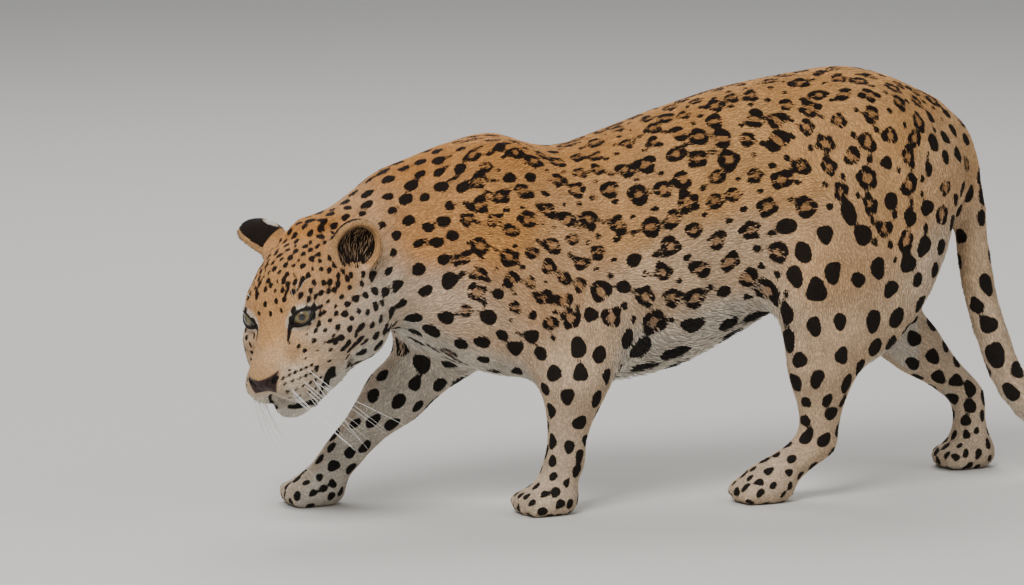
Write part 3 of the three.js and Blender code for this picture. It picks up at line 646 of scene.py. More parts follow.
# %% Lines that the fur follows
LIE = [
    (on_head(212, 0, 0), on_head(120, 0, 60)),
    (on_head(120, 0, 60), on_head(40, 0, 88)),
    (on_head(200, 20, -20), on_head(90, 62, -20)),
    (on_head(200, -20, -20), on_head(90, -62, -20)),
    (on_head(190, 0, -60), on_head(60, 0, -80)),
    (on_head(90, 62, -20), on_head(10, 66, -20)),
    (on_head(90, -62, -20), on_head(10, -66, -20)),
    (on_head(40, 0, 88), (-300, -5, 408)),
    ((-300, -5, 408), (-190, 0, 450)),
    ((-360, -60, 250), (-250, -95, 320)),
    ((-340, 70, 250), (-250, 90, 320)),
    (on_head(30, 0, -70), (-240, 0, 180)),
    ((-190, 0, 450), (100, 0, 505)),
    ((100, 0, 505), (330, 0, 515)),
    ((330, 0, 515), (425, 0, 420)),
    ((-260, -95, 330), (-150, -105, 250)),
    ((-260, 95, 330), (-200, 95, 230)),
    ((-80, -112, 330), (180, -100, 380)),
    ((-80, 112, 330), (180, 100, 380)),
    ((-200, 0, 155), (0, 0, 150)),
    ((0, 0, 150), (180, 0, 235)),
    ((200, -100, 430), (240, -115, 320)),
    ((200, 100, 430), (300, 105, 300)),
    ((350, -80, 450), (330, -90, 280)),
    ((350, 80, 450), (370, 90, 260)),
    ((425, 0, 420), (437, -4, 288)),
    ((437, -4, 288), (470, -8, 160)),
    ((470, -8, 160), (540, -10, 74)),
    ((540, -10, 74), (634, -6, 76)),
    ((634, -6, 76), (676, -2, 170)),
    ((-110, -95, 250), (-112, -86, 160)),
    ((-112, -86, 160), (-126, -84, 60)),
    ((-126, -84, 60), (-185, -84, 12)),
    ((-215, 80, 220), (-292, 72, 130)),
    ((-292, 72, 130), (-356, 70, 66)),
    ((-356, 70, 66), (-440, 70, 12)),
    ((215, -100, 290), (212, -90, 160)),
    ((212, -90, 160), (206, -84, 76)),
    ((206, -84, 76), (95, -84, 12)),
    ((330, 95, 270), (400, 88, 160)),
    ((400, 88, 160), (468, 84, 90)),
    ((468, 84, 90), (466, 84, 40)),
    ((466, 84, 40), (420, 84, 12)),
]
lie_start = np.array([np.asarray(a, float) for a, b in LIE])
lie_way = np.array([np.asarray(b, float) for a, b in LIE]) - lie_start


def lie_at(p, normal):
    """Unit vectors in which the fur runs at sheet points, flat on the hide."""
    way = np.empty_like(p)
    square_length = (lie_way ** 2).sum(1)
    along = lie_way / np.sqrt(square_length)[:, None]
    for start in range(0, len(p), CHUNK):
        rel = p[start : start + CHUNK][:, None, :] - lie_start[None]
        t = np.clip((rel * lie_way[None]).sum(2) / square_length, 0, 1)
        square = ((rel - t[:, :, None] * lie_way[None]) ** 2).sum(2) + 40
        way[start : start + CHUNK] = (square ** -1.8) @ along
    way /= np.linalg.norm(way, axis=1, keepdims=True)
    for ear in ear_sheets:
        centre, tip = on_head(*ear[0]), ear[1][2] @ head_axes
        near = smoothstep(48, 36, np.linalg.norm(p - centre, axis=1))[:, None]
        way = way * (1 - near) + near * tip
    way -= normal * (way * normal).sum(1, keepdims=True)
    return way / np.maximum(np.linalg.norm(way, axis=1, keepdims=True), 1e-9)


print("lines of the coat's lie:", len(LIE))

# %% [markdown]
# ## Where the spots are
# Spots keep about one spacing apart, as the real ones do. Places are drawn from the hide in a
# seeded random order, and each is kept if no spot kept so far stands too near. A second round
# puts small dots in the hollows that are left. Each spot has its own size, outline and number
# of breaks, and a rosette has a darker tan inside.

# %% Draw the middles of the spots
DRAWS, MOST_SPOTS, WIDEST_SPACING = 36000, 4000, 52
rng = np.random.default_rng(20)
co = to_sheet(coords(skin))
normal = normals_of(skin)
APART, FILL_APART, LEAST_FILLED = 0.45, 0.31, 0.2
order = rng.permutation(len(co))[:DRAWS]
order_rows = coat_at(co[order])
kept, kept_place, kept_space = [], np.empty((MOST_SPOTS, 3)), np.empty(MOST_SPOTS)
for apart_share, fills in ((APART, False), (FILL_APART, True)):
    for index, row in zip(order, order_rows):
        n = len(kept)
        if row[0] > WIDEST_SPACING or n >= MOST_SPOTS or (fills and row[1] < LEAST_FILLED):
            continue
        apart = ((kept_place[:n] - co[index]) ** 2).sum(1)
        if n and (apart < (apart_share * (kept_space[:n] + row[0])) ** 2).any():
            continue
        kept_place[n], kept_space[n] = co[index], row[0]
        kept.append((index, row, fills))
print("places kept:", len(kept), "of", DRAWS, "drawn")

# %% Size, outline and breaks of each spot
SMALLEST_ROSETTE = 21  # spacing, in millimetres, below which a mark is always a plain spot
spot_index = np.array([k[0] for k in kept])
spot_row = np.array([k[1] for k in kept])
spot_fills = np.array([k[2] for k in kept])
spot_place, spot_normal = co[spot_index], normal[spot_index]
spot_way = lie_at(spot_place, spot_normal)
spot_side = np.cross(spot_normal, spot_way)
count = len(kept)
spot_open = (rng.random(count) < 1.3 * spot_row[:, 1]) & ~spot_fills
spot_open &= spot_row[:, 0] > SMALLEST_ROSETTE
spot_share = np.where(spot_open, 0.445, 0.39 - 0.13 * spot_row[:, 1])
spot_radius = spot_row[:, 0] * spot_share * rng.uniform(0.78, 1.12, count)
spot_radius = np.where(spot_fills, 0.15 * spot_row[:, 0], spot_radius)
face_place = to_head(spot_place)
toward_nose = (spot_place[:, 0] < -300) & (spot_place[:, 2] > LOWEST_OF_HEAD)
widest = np.interp(face_place[:, 0], [40, 95, 120, 150], [9.6, 7.4, 5.2, 3.2])
spot_radius = np.where(toward_nose, np.minimum(spot_radius, widest), spot_radius)
spot_long = rng.uniform(1.0, np.where(spot_open, 1.2, 1.4), count)
spot_lobes = rng.uniform(0, 0.13, (count, 3))
spot_phase = rng.uniform(0, 2 * math.pi, (count, 4))
spot_breaks = rng.integers(2, 6, count)
spot_cut = rng.uniform(0.4, 1.1, count)
tree = KDTree(count)
for i, place in enumerate(spot_place):
    tree.insert(place, i)
tree.balance()
print("spots:", count, "of which rosettes:", int(spot_open.sum()))

# %% [markdown]
# ## Marks that every leopard has
# Some marks aren't random: the dark line from the eye's inner corner, the black rims of the
# eyes, the black lips and the patch at the mouth's corner, rows of dots on the whisker pads and
# the black backs of the ears with a white spot. They are strokes and dots on the head's sheet.

# %% Strokes and dots on the head
MARKS = [
    # a stroke's places, with the half width at each
    [((154, 25, 40), 3.2), ((158, 22, 30), 2.6), ((167, 21, 21), 1.4)],
    [((137, 45, 39), 2.2), ((123, 48, 36), 1.6)],
    [((143, 18, 59), 1.4), ((134, 21, 67), 2.0)],
    [((139, 28, 61), 1.2), ((131, 32, 65), 1.6)],
    [((152, 48, -30), 6.5), ((157, 42, -45), 11.5), ((172, 30, -57), 7.0), ((183, 23, -55), 3.4),
     ((196, 10, -46), 2.8), ((204, 0, -34), 2.4)],
    [((133, 62, 0), 2.6), ((146, 55, 4), 2.2)],
    [((108, 67, -22), 3.4), ((128, 60, -20), 2.8)],
    [((100, 70, -6), 3.0), ((113, 68, -6), 2.6)],
    [((205, 21, 1), 1.8), ((208, 15, -4), 2.6)],
]
PAD_ROWS = [
    ((200, 22, -5), (168, 40, -10), 6),
    ((201, 23, -11), (166, 41, -19), 6),
    ((201, 23, -18), (164, 41, -29), 6),
    ((198, 21, -26), (166, 38, -38), 5),
]
DOT, MARK_DEPTH, FAR_FROM_INK = 1.9, 16.0, 9.0
mark_strokes, whisker_roots = [], []
for s in (1, -1):
    mirror = np.array([1, s, 1])
    for stroke in MARKS:
        for (a, ra), (b, rb) in zip(stroke, stroke[1:]):
            mark_strokes.append((a * mirror, b * mirror, ra, rb))
    for a, b, dots in PAD_ROWS:
        for i in range(dots):
            at = (a + (np.array(b, float) - a) * i / (dots - 1)) * mirror
            mark_strokes.append((at, at + [1.5, 0, 0], DOT, DOT))
            if i % 2 == 0:
                whisker_roots.append((at, s))
print("strokes:", len(mark_strokes), "whisker roots:", len(whisker_roots))


# %% Ink of strokes and spots
def stroke_gap(h, facing, a, b, ra, rb):
    """How far head places are from a stroke, measured along the surface."""
    t = np.clip((h - a) @ (b - a) / ((b - a) @ (b - a)), 0, 1)
    rel = h - a - t[:, None] * (b - a)
    deep = (rel * facing).sum(1)
    gap = np.sqrt(np.maximum((rel ** 2).sum(1) - deep ** 2, 0)) - ra - t * (rb - ra)
    return np.where(np.abs(deep) > MARK_DEPTH, FAR_FROM_INK, gap)


def wave(p, size, seed):
    """A smooth random field of about unit height, with bumps of the given size in millimetres."""
    draw = np.random.default_rng(seed)
    total = np.zeros(len(p))
    for _ in range(7):
        direction = unit(draw.normal(size=3)) * 2 * math.pi / (size * draw.uniform(0.8, 1.6))
        total += np.sin(p @ direction + draw.uniform(0, 2 * math.pi))
    return total / 3


NEAREST = 5


def spots_at(p, normal):
    """ink, in millimetres outside (+) or inside (-) black, and rust, 1 in a rosette's middle."""
    ink = np.full(len(p), FAR_FROM_INK)
    rust = np.zeros(len(p))
    nearest = np.array([[hit[1] for hit in tree.find_n(place, NEAREST)] for place in p])
    for k in range(NEAREST):
        i = nearest[:, k]
        rel = p - spot_place[i]
        facing = (normal * spot_normal[i]).sum(1)
        stretch = np.sqrt(spot_long[i])
        u = (rel * spot_way[i]).sum(1) / stretch
        v = (rel * spot_side[i]).sum(1) * stretch
        w = (rel * spot_normal[i]).sum(1)
        r = np.sqrt(u * u + v * v + 0.5 * w * w)
        angle = np.arctan2(v, u)
        outline = 1 + sum(spot_lobes[i, n] * np.cos((n + 1) * angle + spot_phase[i, n]) for n in range(3))
        radius = spot_radius[i] * outline
        breaks = np.cos(spot_breaks[i] * angle + spot_phase[i, 3])
        half = radius * (0.28 + 0.14 * breaks * spot_cut[i])
        ring = np.abs(r - 0.7 * radius) - half
        mark = np.where(spot_open[i], ring, r - radius) + np.where(facing < 0.1, 20, 0)
        ink = np.minimum(ink, mark)
        rust = np.maximum(rust, smoothstep(0.9, 0.6, r / radius) * spot_open[i] * (facing > 0.1))
    return ink + 0.9 * wave(p, 14, 3) + 0.4 * wave(p, 6, 4), rust


print("each place looks at its", NEAREST, "nearest spots")


# %% All the coat's fields in one function
def eye_local(p, s):
    """Sheet points in the left (1) or right (-1) eye's own out, up and look axes."""
    return (p - eye_centres[s]) @ np.array(eye_frame(s)).T


def paint(p, normal):
    """All the coat's fields at sheet points, as a dict of arrays."""
    row = coat_at(p)
    ink, rust = spots_at(p, normal)
    pale, warm, length = row[:, 2].copy(), row[:, 3].copy(), row[:, 4].copy()
    h = to_head(p)
    on_face = (h[:, 0] > 20) & (p[:, 2] > LOWEST_OF_HEAD) & (p[:, 0] < -300)
    face_normal = normal[on_face] @ head_axes.T
    gaps = [stroke_gap(h[on_face], face_normal, *stroke) for stroke in mark_strokes]
    ink[on_face] = np.minimum(ink[on_face], np.min(gaps, axis=0) * HEAD_SCALE)
    under = smoothstep(-0.1, -0.8, normal[:, 2]) * smoothstep(110, 150, p[:, 2]) * (p[:, 0] < 300)
    inner = smoothstep(0.1, 0.7, -normal[:, 1] * np.sign(p[:, 1])) * smoothstep(330, 270, p[:, 2])
    inner *= (np.abs(p[:, 1]) > 15) & (p[:, 0] < 390)
    pale = np.where(on_face, pale, np.maximum(pale, np.maximum(0.9 * under, 0.85 * inner)))
    pale += 0.4 * smoothstep(-0.1, -0.8, normal[:, 2]) * (p[:, 0] > 430) * (1 - pale)
    inside_ear = np.zeros(len(p), bool)
    for ear in ear_sheets:
        rel = (h - ear[0]) @ ear[1].T
        on_ear = (np.linalg.norm(rel / (ear[2] + 4), axis=1) < 1) & (rel[:, 2] > -18)
        facing = normal @ (ear[1][0] @ head_axes)
        back = on_ear & (facing < -0.05)
        spot = np.hypot(rel[:, 1], (rel[:, 2] - 5) * 0.9) - 8
        ink[back] = -np.minimum(spot[back], rel[back, 2] + 8)
        pale[back & (spot < 0)] = 1
        # The ear's front keeps a tan ground; the share of rust brown on it is painted shade in the ear's
        # hollow.
        front = on_ear & ~back
        ink[front] = 6
        pale[front], warm[front], rust[front], length[front] = 0.1, 0.3, 0.5, 5
        # The hollow inside the ear is marked here, so that it can be painted black as painted shade.
        inside_ear |= front & (np.linalg.norm(rel[:, 1:] / ear[2][1:], axis=1) < 0.75)
    for s in (1, -1):
        local = eye_local(p, s)
        close = (np.linalg.norm(local, axis=1) < EYE_MM + 9) & (local[:, 2] > 0)
        gap = np.linalg.norm(local[close, None, :2] - edge_of_lids[None], axis=2).min(1)
        ink[close] = np.minimum(ink[close], gap - 2.8)
        pale[close] = np.maximum(pale[close], 0.75 * smoothstep(9, 4, gap))
    side = np.abs(h[:, 1]) - (19 - 0.35 * np.maximum(0, -h[:, 2] - 2))
    pad = np.maximum.reduce([side, h[:, 2] - 1 - 0.16 * np.abs(h[:, 1]), -17 - h[:, 2], 198 - h[:, 0]])
    leather = smoothstep(1.0, -0.6, pad) * on_face
    return {"ink": ink, "rust": rust, "pale": np.clip(pale, 0, 1), "warm": warm, "leather": leather,
            "length": length, "inside_ear": inside_ear.astype(float)}


# %% Store the coat's fields on the hide
def store(obj, fields):
    for name, values in fields.items():
        layer = obj.data.attributes.new(name, "FLOAT", "POINT")
        layer.data.foreach_set("value", np.asarray(values, np.float32))


# The hide is painted darker than the locks, as painted shade beneath the coat, like the shaded roots of
# the locks.
HIDE_SHADE, HIDE_ROOT_SHADE = 0.35, 0.2  # the hide looks like the roots of its locks
hide = paint(co, normal)
length = hide.pop("length")
# The hide inside the ear's hollow is painted black: painted shade.
hide["ink"] = np.where(hide.pop("inside_ear") > 0, -1.0, hide["ink"])
hide["shade"] = np.full(len(co), HIDE_SHADE)
hide["tip"] = np.full(len(co), HIDE_ROOT_SHADE)
store(skin, hide)
print("ink covers", round(float((hide["ink"] < 0).mean()) * 100), "% of the hide's vertices")

# %% Unwrap the hide
BAKE_MAP = "OFBake"
pick(skin)
while skin.data.uv_layers:
    skin.data.uv_layers.remove(skin.data.uv_layers[0])
skin.data.uv_layers.new(name=BAKE_MAP)
bpy.ops.object.mode_set(mode="EDIT")
bpy.ops.mesh.select_all(action="SELECT")
bpy.ops.uv.smart_project(angle_limit=math.radians(66), island_margin=0.002)
bpy.ops.object.mode_set(mode="OBJECT")
print("hide unwrapped,", len(skin.data.polygons), "faces")

# %% [markdown]
# ## What hide and coat are made of
# Hide and coat share one material, so their markings agree. It reads the fields stored on the
# points: tan turns to orange along the back, to white on the belly, to rust inside a rosette and
# to black in a spot. Fine noise varies the tan from hair to hair. Each lock is painted darker
# towards its root, and the hide under the coat darker still, as painted shade in the coat's depth.
# Hair has a soft sheen and no sharp gloss, while the nose is moist leather.

# %% Colours and small helpers for materials
TAN = (0.64, 0.37, 0.15, 1)
ORANGE = (0.56, 0.24, 0.06, 1)
WHITE = (0.76, 0.70, 0.60, 1)
RUST = (0.32, 0.14, 0.045, 1)
BLACK = (0.004, 0.003, 0.003, 1)
LEATHER = (0.035, 0.02, 0.018, 1)


def new_material(name):
    material = bpy.data.materials.new(name)
    material.use_nodes = True
    nodes, links = material.node_tree.nodes, material.node_tree.links
    return material, nodes, links, nodes["Principled BSDF"]


def attribute(nodes, name):
    node = nodes.new("ShaderNodeAttribute")
    node.attribute_name = name
    return node.outputs["Fac"]


def ramp_between(nodes, links, value, low, high, to_low=0.0, to_high=1.0):
    node = nodes.new("ShaderNodeMapRange")
    node.interpolation_type = "SMOOTHSTEP"
    links.new(value, node.inputs["Value"])
    node.inputs["From Min"].default_value = low
    node.inputs["From Max"].default_value = high
    node.inputs["To Min"].default_value = to_low
    node.inputs["To Max"].default_value = to_high
    return node.outputs["Result"]


def colour_mix(nodes, links, factor, a, b, kind="MIX"):
    node = nodes.new("ShaderNodeMix")
    node.data_type = "RGBA"
    node.blend_type = kind
    for socket, value in zip((node.inputs[0], node.inputs[6], node.inputs[7]), (factor, a, b)):
        if isinstance(value, bpy.types.NodeSocket):
            links.new(value, socket)
        else:
            socket.default_value = value
    return node.outputs[2]


def noise(nodes, links, scale, detail=3.0, roughness=0.6):
    place = nodes.new("ShaderNodeTexCoord")
    node = nodes.new("ShaderNodeTexNoise")
    node.inputs["Scale"].default_value = scale
    node.inputs["Detail"].default_value = detail
    node.inputs["Roughness"].default_value = roughness
    links.new(place.outputs["Object"], node.inputs["Vector"])
    return node.outputs["Fac"]


print("colours:", len((TAN, ORANGE, WHITE, RUST, BLACK, LEATHER)))

# %% Coat material
coat, nodes, links, shader = new_material("coat")
colour = colour_mix(nodes, links, attribute(nodes, "warm"), TAN, ORANGE)
colour = colour_mix(nodes, links, attribute(nodes, "pale"), colour, WHITE)
rust_share = ramp_between(nodes, links, attribute(nodes, "rust"), 0, 1, 0, 0.6)
colour = colour_mix(nodes, links, rust_share, colour, RUST)
patches = ramp_between(nodes, links, noise(nodes, links, 26), 0.3, 0.7, 0.86, 1.1)
colour = colour_mix(nodes, links, 1.0, colour, patches, "MULTIPLY")
hairs = ramp_between(nodes, links, noise(nodes, links, 420), 0.3, 0.7, 0.82, 1.12)
colour = colour_mix(nodes, links, 1.0, colour, hairs, "MULTIPLY")
lock_shade = ramp_between(nodes, links, attribute(nodes, "shade"), 0, 1, 0.78, 1.18)
colour = colour_mix(nodes, links, 1.0, colour, lock_shade, "MULTIPLY")
# Each lock is painted darker from its tip to its root: painted shade in the depth of the coat.
painted_root_shade = ramp_between(nodes, links, attribute(nodes, "tip"), 0, 1, 0.7, 1.12)
colour = colour_mix(nodes, links, 1.0, colour, painted_root_shade, "MULTIPLY")
leather_share = attribute(nodes, "leather")
colour = colour_mix(nodes, links, leather_share, colour, LEATHER)
black_share = ramp_between(nodes, links, attribute(nodes, "ink"), -0.7, 0.7, 0.98, 0)
colour = colour_mix(nodes, links, black_share, colour, BLACK)
links.new(colour, shader.inputs["Base Color"])
links.new(ramp_between(nodes, links, leather_share, 0, 1, 0.72, 0.36), shader.inputs["Roughness"])
shader.inputs["Specular IOR Level"].default_value = 0.1
shader.inputs["Sheen Weight"].default_value = 0.03
shader.inputs["Sheen Roughness"].default_value = 0.5
bump = nodes.new("ShaderNodeBump")
bump.inputs["Strength"].default_value = 0.35
bump.inputs["Distance"].default_value = 0.0012
links.new(noise(nodes, links, 900, 2), bump.inputs["Height"])
links.new(bump.outputs["Normal"], shader.inputs["Normal"])
skin.data.materials.append(coat)
print("coat material has", len(nodes), "nodes")


# %% [markdown]
# ## Eyes
# A leopard's eye is a large glossy ball with a pale green-gold iris, a round pupil and a dark
# ring at the iris's edge. A ball with its pole along the gaze is enough, because colour rings
# round the pole then give pupil and iris. The cornea bulges a little so that it catches light.


# %% Eye material
def colour_ramp(nodes, links, value, stops):
    node = nodes.new("ShaderNodeValToRGB")
    links.new(value, node.inputs["Fac"])
    elements = node.color_ramp.elements
    while len(elements) < len(stops):
        elements.new(0.5)
    for element, (place, rgb) in zip(elements, stops):
        element.position = place
        element.color = (*rgb, 1)
    return node.outputs["Color"]


WIDEST_RING = 60.0
PUPIL, IRIS, LIMBUS = 12.0 / WIDEST_RING, 33.0 / WIDEST_RING, 37.0 / WIDEST_RING
eye_material, nodes, links, shader = new_material("eye")
rings = colour_ramp(nodes, links, attribute(nodes, "ring"), [
    (0.0, (0.004, 0.004, 0.004)),
    (PUPIL, (0.004, 0.004, 0.004)),
    (PUPIL + 0.02, (0.13, 0.075, 0.02)),
    ((PUPIL + IRIS) / 2, (0.15, 0.115, 0.045)),
    (IRIS - 0.05, (0.085, 0.07, 0.03)),
    (IRIS + 0.01, (0.03, 0.022, 0.012)),
    (LIMBUS + 0.05, (0.035, 0.02, 0.014)),
])
streaks = ramp_between(nodes, links, noise(nodes, links, 520, 4), 0.3, 0.7, 0.6, 1.3)
links.new(colour_mix(nodes, links, 1.0, rings, streaks, "MULTIPLY"), shader.inputs["Base Color"])
shader.inputs["Roughness"].default_value = 0.3
shader.inputs["Coat Weight"].default_value = 0.6
shader.inputs["Coat Roughness"].default_value = 0.03

print("eye material has", len(nodes), "nodes")

# %% Eyeballs with a bulging cornea
CORNEA_ANGLE, CORNEA_BULGE = 36.0, 0.0011
EYES = {"eye_left": (1, "eyeball_left"), "eye_right": (-1, "eyeball_right")}
for name, (s, ball_name) in EYES.items():
    look = eye_frame(s)[2]
    centre = Vector(to_metres(eye_centres[s]))
    deselect()
    turn = Vector(look).to_track_quat("Z", "Y").to_euler()
    bpy.ops.mesh.primitive_uv_sphere_add(
        segments=64, ring_count=48, radius=EYE_MM / 1000, location=centre, rotation=turn
    )
    ball = bpy.context.object
    ball.name = ball_name
    bpy.ops.object.transform_apply(location=True, rotation=True, scale=True)
    place = coords(ball) - np.array(centre)
    ray = place / np.linalg.norm(place, axis=1, keepdims=True)
    angle = np.degrees(np.arccos(np.clip(ray @ look, -1, 1)))
    bulge = CORNEA_BULGE * np.clip(1 - (angle / CORNEA_ANGLE) ** 2, 0, 1)
    set_coords(ball, coords(ball) + ray * bulge[:, None])
    store(ball, {"ring": np.clip(angle / WIDEST_RING, 0, 1)})
    ball.data.materials.append(eye_material)
    bpy.ops.object.shade_smooth()
    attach(ball, "root")
    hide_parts(name)
print("eyeballs of", round(2 * EYE_MM, 1), "mm")


# %% [markdown]
# ## Rims of the eyes and whiskers
# The lids end in a bare, black, moist rim. It is a thin tube along the lids' edge. Whiskers are
# stiff white hairs that stand in rows on the pads and droop back, so each is a tapered tube.


# %% Tubes from arrays
def mesh_from(name, points, faces, material):
    """A smooth object from points in sheet millimetres and faces of equal length."""
    faces = np.asarray(faces, np.int32)
    mesh = bpy.data.meshes.new(name)
    mesh.vertices.add(len(points))
    mesh.vertices.foreach_set("co", to_metres(points).astype(np.float32).ravel())
    mesh.loops.add(faces.size)
    mesh.loops.foreach_set("vertex_index", faces.ravel())
    mesh.polygons.add(len(faces))
    mesh.polygons.foreach_set("loop_start", np.arange(0, faces.size, faces.shape[1], dtype=np.int32))
    mesh.update(calc_edges=True)
    mesh.shade_smooth()
    mesh.materials.append(material)
    obj = bpy.data.objects.new(name, mesh)
    bpy.context.collection.objects.link(obj)
    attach(obj, "root")
    return obj


def tube(path, radii, sides, closed=False):
    """Points and quads of a tube along a path."""
    path = np.asarray(path, float)
    if closed:
        way = np.roll(path, -1, axis=0) - np.roll(path, 1, axis=0)
    else:
        way = np.gradient(path, axis=0)
    way /= np.linalg.norm(way, axis=1, keepdims=True)
    helper = np.array([0.31, 0.17, 0.93])
    first = np.cross(way, helper)
    first /= np.linalg.norm(first, axis=1, keepdims=True)
    second = np.cross(way, first)
    turns = np.arange(sides) * 2 * math.pi / sides
    ring = np.cos(turns)[None, :, None] * first[:, None] + np.sin(turns)[None, :, None] * second[:, None]
    points = (path[:, None] + ring * np.asarray(radii)[:, None, None]).reshape(-1, 3)
    faces = []
    rows = len(path) if closed else len(path) - 1
    for i in range(rows):
        j = (i + 1) % len(path)
        for k in range(sides):
            m = (k + 1) % sides
            faces.append((i * sides + k, i * sides + m, j * sides + m, j * sides + k))
    return points, np.array(faces)


def joined(parts):
    points, faces, start = [], [], 0
    for part_points, part_faces in parts:
        points.append(part_points)
        faces.append(part_faces + start)
        start += len(part_points)
    return np.concatenate(points), np.concatenate(faces)



# %% Rims of the lids
rim_material, _, _, shader = new_material("eye_rim")
shader.inputs["Base Color"].default_value = (0.006, 0.005, 0.004, 1)
shader.inputs["Roughness"].default_value = 0.45
RIM_DEPTH, RIM_UPPER, RIM_LOWER, RIM_SIDES = 0.9, 1.4, 1.0, 10
for s, name in ((1, "lid_rim_left"), (-1, "lid_rim_right")):
    deep = np.sqrt(np.maximum((EYE_MM + RIM_DEPTH) ** 2 - (edge_of_lids ** 2).sum(1), 30))
    path = eye_centres[s] + np.column_stack([edge_of_lids, deep]) @ np.array(eye_frame(s))
    radii = np.where(np.arange(LID_POINTS) < LID_POINTS / 2, RIM_UPPER, RIM_LOWER)
    mesh_from(name, *tube(path, radii, RIM_SIDES, closed=True), rim_material)
print("lid rims of", LID_POINTS * RIM_SIDES, "faces each")

# %% Whiskers
whisker_material, _, _, shader = new_material("whiskers")
shader.inputs["Base Color"].default_value = (0.86, 0.84, 0.80, 1)
shader.inputs["Roughness"].default_value = 0.4
whisker_rng = np.random.default_rng(5)
whiskers, brow_whiskers = [], []
steps = np.linspace(0, 1, 11)[:, None]
taper = (1 - steps[:, 0]) ** 0.7
for at, s in whisker_roots:
    reach = whisker_rng.uniform(55, 100)
    start = unit(0.3 * s * head_l + np.array([0.28, 0, -0.5]) + whisker_rng.normal(0, 0.09, 3))
    sag = np.array([0.5, 0.38 * s, -0.35]) * whisker_rng.uniform(0.5, 1.2)
    root = on_head(at[0], at[1] - 2 * s, at[2])
    path = root + reach * (steps * start + steps ** 2 * sag)
    whiskers.append(tube(path, 0.32 * taper + 0.08, 6))
for s in (1, -1):
    for i in range(3):
        start = unit(np.array([0.15, 0.35 * s, 0.9]) + whisker_rng.normal(0, 0.12, 3)) @ head_axes
        root, sag = on_head(138 - 3 * i, (27 + 2 * i) * s, 56), np.array([0.3, 0, -0.2])
        path = root + 42 * (steps * start + steps ** 2 * sag)
        brow_whiskers.append(tube(path, 0.22 * taper + 0.05, 5))
mesh_from("whiskers", *joined(whiskers), whisker_material)
mesh_from("brow_whiskers", *joined(brow_whiskers), whisker_material)
print("whiskers:", len(whiskers), "brow whiskers:", len(brow_whiskers))

# %% [markdown]
# ## The coat
# A leopard's coat is short and lies flat, and one sees it as a fine grain of small overlapping
# locks that breaks the outline everywhere. Each lock is a closed leaf of six triangles with a
# ridge, rooted in the hide and lying along the coat. They are built as arrays, because an
# object or an operator for each of so many would take hours. Locks are smallest on face and
# feet, and longest on belly, throat and cheeks.

# %% Roots of the locks
MOST_LOCKS = 228000
coat_rng = np.random.default_rng(11)
mesh = skin.data
mesh.calc_loop_triangles()
n = len(mesh.loop_triangles)
corners, loops, areas = np.empty(n * 3, np.int32), np.empty(n * 3, np.int32), np.empty(n, np.float32)
mesh.loop_triangles.foreach_get("vertices", corners)
mesh.loop_triangles.foreach_get("loops", loops)
mesh.loop_triangles.foreach_get("area", areas)
corners, loops = corners.reshape(-1, 3), loops.reshape(-1, 3)
uv = np.empty(len(mesh.loops) * 2, np.float32)
mesh.uv_layers[BAKE_MAP].data.foreach_get("uv", uv)
uv = uv.reshape(-1, 2)


def lock_width(length):
    return np.clip(0.35 + 0.13 * length, 0.7, 2.2)


bald = (hide["leather"] > 0.2) | (co[:, 2] < 1.5)
h = to_head(co)
lips = np.min([line(h) for line in mouth_line], axis=0) < 1.2
bald |= lips & (h[:, 0] > 120) & (co[:, 2] > LOWEST_OF_HEAD)
for s in (1, -1):
    local = eye_local(co, s)
    near_ball = (local[:, 2] > 0) & (np.linalg.norm(local, axis=1) < EYE_MM + 8)
    bald |= inside_lids(local[:, :2] / 1.04) & near_ball
per_area = 1 / (0.5 * length * lock_width(length))
weight = per_area[corners].mean(1) * areas * 1e6 * ~bald[corners].any(1)
overlap = MOST_LOCKS / weight.sum()
picks = (np.arange(MOST_LOCKS) + coat_rng.random(MOST_LOCKS)) / MOST_LOCKS * weight.sum()
triangle = np.minimum(np.searchsorted(np.cumsum(weight), picks), n - 1)
a, b = np.sqrt(coat_rng.random(MOST_LOCKS)), coat_rng.random(MOST_LOCKS)
shares = np.column_stack([1 - a, a * (1 - b), a * b])
roots = (co[corners[triangle]] * shares[:, :, None]).sum(1)
root_normals = (normal[corners[triangle]] * shares[:, :, None]).sum(1)
root_normals /= np.linalg.norm(root_normals, axis=1, keepdims=True)
root_uv = (uv[loops[triangle]] * shares[:, :, None]).sum(1)
print("locks:", MOST_LOCKS, "overlap:", round(float(overlap), 2))

# %% Leaves of the locks
fields = paint(roots, root_normals)
length = fields.pop("length") * coat_rng.uniform(0.75, 1.2, MOST_LOCKS)
in_ear = fields.pop("inside_ear") > 0
ear_light = in_ear & (coat_rng.random(MOST_LOCKS) < 0.16)
length = np.where(ear_light, 2.4 * length, length)
fields["pale"] = np.where(ear_light, 0.5, fields["pale"])
long_hair = np.clip((length - 12) / 12, 0, 1)
way = lie_at(roots, root_normals)
way += coat_rng.normal(0, 0.16, way.shape) + long_hair[:, None] * np.array([0.2, 0, -0.5])
way -= root_normals * (way * root_normals).sum(1, keepdims=True)
way /= np.linalg.norm(way, axis=1, keepdims=True)
side = np.cross(root_normals, way)
width = np.where(ear_light, 0.5, lock_width(length))[:, None] * coat_rng.uniform(0.8, 1.2, (MOST_LOCKS, 1))
lift = (0.19 + 0.2 * long_hair + 0.15 * in_ear)[:, None] * coat_rng.uniform(0.6, 1.4, (MOST_LOCKS, 1))
long = length[:, None]
middle = roots + way * long * 0.45 + root_normals * long * 0.45 * lift
leaf = np.stack([
    roots - root_normals * 0.4,
    middle + side * width / 2,
    middle - side * width / 2,
    middle + root_normals * width * 0.35,
    roots + way * long * 0.97 + root_normals * long * 0.72 * lift,
], 1)
leaf[:, :, 2] = np.maximum(leaf[:, :, 2], 0.2)
